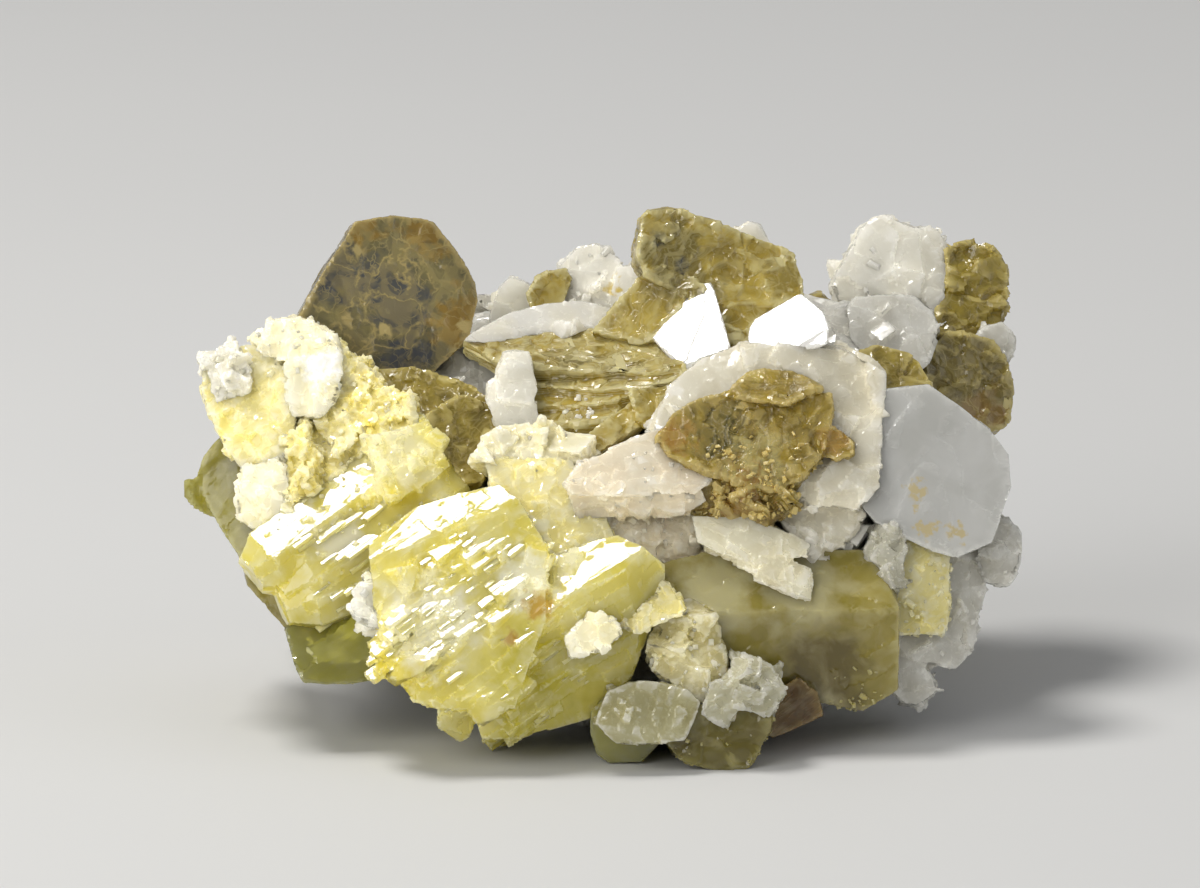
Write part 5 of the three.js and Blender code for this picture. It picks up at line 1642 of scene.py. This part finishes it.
@dataclass
class MuscoviteBooks:
    """All the muscovite: books seen on their faces, and the sheaf seen on edge."""

    shop: Workshop
    fineness: float = 0.18
    relief: Relief = Relief(lumps=0.02, shard_size=2.0)
    amber: Color = (0.44, 0.27, 0.045)
    smoke: Color = (0.105, 0.11, 0.115)

    def books(self) -> tuple[Book, ...]:
        """Every book."""
        amber, smoke = self.amber, self.smoke
        worn = replace(MICA, slot="muscovite_rusty")
        sheaf = replace(MICA_GOLD, name="muscovite sheaf", web_share=0.2, line_share=0.9)
        return (
            Book("upright_book", "muscovite_upright_book", MICA_SMOKY, Leaves((0.24, 0.12)), 0.02, 2.4, (
                Spot((-14.6, 28.8), 3.6, smoke, 0.7, 1.8),
                Spot((-18.0, 30.8), 2.6, smoke, 0.8, 1.4),
                Spot((-13.4, 24.8), 2.2, smoke, 0.8, 1.2),
                Spot((-19.3, 26.0), 3.0, (0.30, 0.27, 0.04), 0.6, 1.5),
                Spot((-9.8, 27.6), 2.8, amber, 0.8, 1.0),
                Spot((-12.0, 33.8), 2.4, amber, 0.8, 0.9),
                Spot((-16.5, 34.2), 1.8, amber, 0.8, 0.9),
            ), 0.12, 0.05),
            Book("lower_book", "muscovite_lower_book", worn, Leaves((0.05, 0.8)), 0.08, 1.6),
            Book("sheaf", "muscovite_fan", sheaf,
                 Leaves((-0.2, 1.65), spacing=0.15, thickness=0.07, stand=0.4, wave=0.35), 0.06, 1.6, (
                     Spot((-2.0, 24.4), 2.4, (0.26, 0.20, 0.04), 0.9, 1.2),
                     Spot((2.0, 24.0), 2.0, (0.28, 0.21, 0.04), 0.9, 1.2),
                     Spot((-6.0, 25.5), 2.0, (0.40, 0.30, 0.06), 0.9, 1.2),
                 )),
            Book("diagonal_blade", "muscovite_diagonal_blade", MICA_GOLD, Leaves((-0.1, 0.5)), 0.08, 1.6),
            Book("arch", "muscovite_arch", MICA_GOLD,
                 Leaves((0.1, 0.45), spacing=0.3, stand=0.4, wave=0.3), 0.08, 1.8, (
                     Spot((4.9, 32.0), 4.0, (0.22, 0.165, 0.025), 0.8, 1.4),
                     Spot((7.0, 29.6), 2.6, (0.30, 0.23, 0.045), 0.9, 1.2),
                     Spot((3.9, 33.2), 0.9, (0.04, 0.04, 0.035)),
                     Spot((5.7, 31.4), 0.9, (0.05, 0.05, 0.045)),
                     Spot((13.2, 30.6), 2.2, (0.40, 0.30, 0.06), 0.9, 1.0),
                 )),
            Book("front_book", "muscovite_front_book", MICA_RUSTY,
                 Leaves((0.05, 0.35), spacing=0.24, stand=0.3), 0.08, 1.4, (
                     Spot((9.6, 23.0), 3.2, (0.66, 0.52, 0.12), 0.4, 1.2),
                     Spot((8.2, 19.8), 3.0, (0.10, 0.08, 0.01), 0.6, 1.2),
                     Spot((11.0, 17.4), 2.8, (0.50, 0.42, 0.15), 0.9, 0.9),
                     Spot((5.2, 19.4), 1.8, (0.40, 0.22, 0.035), 0.8, 0.8),
                     Spot((16.3, 19.2), 1.6, (0.48, 0.29, 0.06), 0.6, 0.8),
                     Spot((9.8, 14.6), 3.2, (0.34, 0.19, 0.035), 0.9, 0.6),
                 )),
            Book("back_blade", "muscovite_back_blade", MICA_GOLD, Leaves((0.2, 0.3))),
            Book("right_wedge", "muscovite_right_wedge", MICA, Leaves((0.15, 0.6))),
            Book("upper_right_book", "muscovite_upper_right_book", MICA,
                 Leaves((0.2, 0.3), stand=0.35), 0.2, 1.6, (), 0.3, 0.3),
            Book("right_lobe", "muscovite_right_lobe", MICA, Leaves((0.35, 0.2), wave=0.3), 0.15, 2.0, (
                Spot((25.4, 24.0), 5.0, (0.19, 0.14, 0.02), 0.8, 1.6),
                Spot((27.0, 20.6), 2.6, (0.30, 0.17, 0.03), 0.7, 1.4),
            )),
            Book("back_book", "muscovite_back_book", MICA, Leaves((-0.25, -1.2)), 0.15, 2.4),
        )

    def build(self) -> None:
        """Makes each book with the leaves on its edge, and the crumbs on the front one."""
        shop = self.shop
        for book in self.books():
            finish = book.finish.of_book(book.name, book.leaves.slope, book.spots)
            relief = replace(
                self.relief, creases=book.creases, crease_size=book.crease_size, terraces=book.terraces,
                shards=book.shards,
            )
            shop.skin(Skin(book.name, book.node, finish, relief, self.fineness))
            # The leaves on the edge take the paler wrinkle colour as a painted highlight, where light
            # catches the leaf edges
            pale = replace(book.finish, first=book.finish.web_color)
            edge = pale.of_book(f"{book.name} edge", book.leaves.slope)
            shop.leaves(f"{book.name}_leaves", book.node, edge, book.leaves)
        crumbs = replace(
            MICA_RUSTY, name="muscovite crumbs", first=(0.60, 0.50, 0.22), second=(0.40, 0.27, 0.06)
        )
        shop.druse(
            "front_book_crumbs", ["muscovite_front_book"], crumbs,
            Druse(320, (0.2, 0.8), centre=(9.8, 14.8), reach=3.6),
            Druse(120, (0.2, 0.6), Habit.BLADE, centre=(12, 17.5), reach=3.6),
        )
        grains = Druse(70, (0.25, 0.6), centre=(-1.1, 21.0), reach=0.9, stand=0.3)
        shop.druse("sheaf_grains", ["muscovite_fan"], WHITE, grains)


@dataclass
class BackAlbite:
    """The matrix, and the albite and brazilianite that stand behind and above."""

    FACET_DEPTH = 1.5
    FACET_SIZE = 2.4

    shop: Workshop
    grain: Place = (0.25, 0.8)
    crust: Place = (0.7, 2.0)
    crusted: int = 8
    blade: Place = (1.6, 4.4)
    blades: int = 60
    large_grain: Place = (0.4, 1.5)
    fineness: float = 0.17
    back_fineness: float = 0.24

    def build(self) -> None:
        """Makes the bright faces, the blocks behind and the matrix."""
        shop = self.shop
        plain = Relief(lumps=0.0, shards=0.05, shard_size=2.5, fine=0.1)
        for name in ("bright_face", "bright_block"):
            shop.skin(Skin(name, f"albite_{name}", GLOSSY, plain, 0.16))
        yellow = Spot((1.0, 30.0), 0.9, (0.62, 0.47, 0.12), 0.9, 0.6)
        cluster = replace(WHITE, name="albite back cluster", slot="albite_grey", spots=(yellow,))
        lilac = replace(WHITE, name="albite lilac", first=(0.66, 0.64, 0.58))
        for name, node, finish, shards in (
            ("lilac_blade", "albite_lilac_blade", lilac, 0.06),
            ("top_tip", "albite_top_tip", WHITE, 0.12),
            ("rimmed_crystal", "albite_rimmed_crystal", ICY, 0.1),
            ("back_cluster", "albite_back_cluster", cluster, 0.15),
            ("grey_block", "albite_grey_block", GREY, 0.12),
            ("upper_right_blocks", "albite_upper_right", WHITE, 0.2),
            ("right_tip", "albite_right_tip", replace(GREY, slot="albite"), 0.15),
        ):
            crust = Druse(self.crusted, self.crust, Habit.BLADE, stand=-0.3)
            self.block(name, node, finish, shards, crust, self.fineness)
        for name, node, finish in (
            ("back_blades", "albite_back_blades", GREY),
            ("right_side_blades", "albite_right_side", GREY),
            ("left_side_blades", "albite_left_side", replace(WHITE, slot="albite_grey")),
        ):
            crust = Druse(self.blades, self.blade, Habit.BLADE, spread=0.7, stand=-0.1)
            self.block(name, node, finish, 0.2, crust, self.back_fineness)
        back = Relief(steps=0.22, step_size=1.2, step_length=6, lumps=0.1)
        shop.skin(Skin("back_crystal", "brazilianite_back", OLIVE, back, 0.25))
        rough = Relief(shards=0.5, shard_size=2.0, lumps=0.3)
        shop.skin(Skin("matrix", "albite_matrix", GREY, rough, 0.32, (
            Druse(160, (0.9, 2.6), stand=-0.2),
            Druse(160, (1.2, 3.4), Habit.BLADE, stand=-0.1),
        )))
        behind = ["albite_back_blades", "albite_right_side", "albite_left_side"]
        shop.druse("back_grains", behind, GREY, Druse(160, self.grain))
        for name, nodes, count in (
            ("upper_right_grains", ["albite_upper_right", "albite_right_tip"], 60),
            ("back_cluster_grains", ["albite_back_cluster"], 40),
        ):
            shop.druse(name, nodes, WHITE, Druse(count, self.large_grain, stand=-0.2))

    def block(
        self, name: str, node: str, finish: Finish, shards: float, crust: Druse, fineness: float
    ) -> bpy.types.Object:
        """Makes a block with flat facets and a few blades on it.

        Args:
            name: The piece's name.
            node: The solid that it stands for.
            finish: Its finish.
            shards: How deep its facets are.
            crust: The blades on it.
            fineness: Its mesh size.

        Returns:
            The piece.
        """
        relief = Relief(shards=shards * self.FACET_DEPTH, shard_size=self.FACET_SIZE)
        return self.shop.skin(Skin(name, node, finish, relief, fineness, (crust,)))


@dataclass
class Studio:
    """The pale floor, the soft lights and the camera at the photograph's angle."""

    distance: float = 1.2
    frame_width: float = 0.084
    aim_up: float = 18.9
    floor_size: float = 3.0
    lamps: tuple[tuple[str, tuple[float, float, float], float, float, Color], ...] = (
        ("key", (-0.35, 0.10, 0.93), 0.18, 1.8, (1.0, 0.98, 0.95)),
        ("front_left", (-0.75, -0.75, 0.55), 0.45, 1.4, (1.0, 0.99, 0.97)),
        ("right_fill", (0.9, -0.3, 0.4), 0.5, 0.35, (0.95, 0.97, 1.0)),
    )
    lamp_distance: float = 0.55
    lamp_aim: tuple[float, float, float] = (0.0, 0.005, 0.017)
    world_color: Color = (0.97, 0.98, 1.0)
    world_strength: float = 0.25
    floor_patch: float = 60.0
    floor_colors: tuple[Color, Color] = ((0.72, 0.72, 0.71), (0.69, 0.69, 0.685))
    floor_roughness: float = 0.7
    bounces: int = 3
    soft_bounces: int = 2

    def floor(self) -> None:
        """Lays the floor."""
        half = self.floor_size / 2
        corners = np.array([(-half, -half, 0), (half, -half, 0), (half, half, 0), (-half, half, 0)]) / MM
        floor = bpy.data.objects.new("floor", mesh_of("floor", corners, [[0, 1, 2, 3]]))
        bpy.context.scene.collection.objects.link(floor)
        made, shader = empty_material("pale floor")
        place = shader.add("ShaderNodeTexCoord").outputs["Object"]
        cloud = shader.noise(place, 1 / (self.floor_patch * MM))
        color = shader.mix(shader.ramp(cloud, low=0.3, high=0.7, end=0.3), *self.floor_colors)
        inputs = {"Base Color": color, "Roughness": self.floor_roughness}
        surface = shader.add("ShaderNodeBsdfPrincipled", inputs)
        shader.add("ShaderNodeOutputMaterial", {"Surface": surface.outputs[0]})
        floor.data.materials.append(made)

    def light(self) -> None:
        """Sets the world and the lamps."""
        world = bpy.data.worlds.new("studio")
        world.use_nodes = True
        back = world.node_tree.nodes["Background"]
        back.inputs[0].default_value = (*self.world_color, 1.0)
        back.inputs[1].default_value = self.world_strength
        bpy.context.scene.world = world
        for name, direction, size, power, color in self.lamps:
            lamp = bpy.data.lights.new(name, "AREA")
            lamp.shape = "DISK"
            lamp.size = size
            lamp.energy = power
            lamp.color = color
            holder = bpy.data.objects.new(name, lamp)
            bpy.context.scene.collection.objects.link(holder)
            out = Vector(direction).normalized()
            holder.location = out * self.lamp_distance + Vector(self.lamp_aim)
            holder.rotation_euler = out.to_track_quat("Z", "Y").to_euler()

    def camera(self) -> None:
        """Sets the camera, level with the photograph's."""
        data = bpy.data.cameras.new("camera")
        data.sensor_width = 36.0
        data.lens = data.sensor_width * self.distance / self.frame_width
        data.clip_start = 0.05
        data.clip_end = 20.0
        holder = bpy.data.objects.new("camera", data)
        bpy.context.scene.collection.objects.link(holder)
        aim = Vector(world_of(np.array([0.0, self.aim_up, 0.0])) * MM)
        back = Vector(world_of(np.array([0.0, 0.0, -1.0])))
        holder.location = aim + back * self.distance
        holder.rotation_euler = back.to_track_quat("Z", "Y").to_euler()
        bpy.context.scene.camera = holder

    def build(self) -> None:
        """Sets up the whole studio."""
        self.camera()
        self.floor()
        self.light()
        scene = bpy.context.scene
        scene.view_settings.view_transform = "Standard"
        scene.cycles.max_bounces = self.bounces
        scene.cycles.diffuse_bounces = self.soft_bounces
        scene.cycles.glossy_bounces = self.soft_bounces
        scene.cycles.transmission_bounces = self.bounces
        scene.cycles.caustics_reflective = False
        scene.cycles.caustics_refractive = False


def main() -> None:
    """Builds the cluster piece by piece, then the studio round it."""
    logging.basicConfig(level=logging.INFO, format="%(name)s: %(message)s")
    Studio().build()
    shop = Workshop()
    for part in (
        FrontCrystals, LeftCrystals, UpperLeft, MiddleCrystals, BottomCrystals, RightCrystals,
        MuscoviteBooks, BackAlbite,
    ):
        part(shop).build()
    LOG.info("%d pieces, %d faces", len(shop.made), sum(len(piece.data.polygons) for piece in shop.made))


if __name__ == "__main__":
    main()
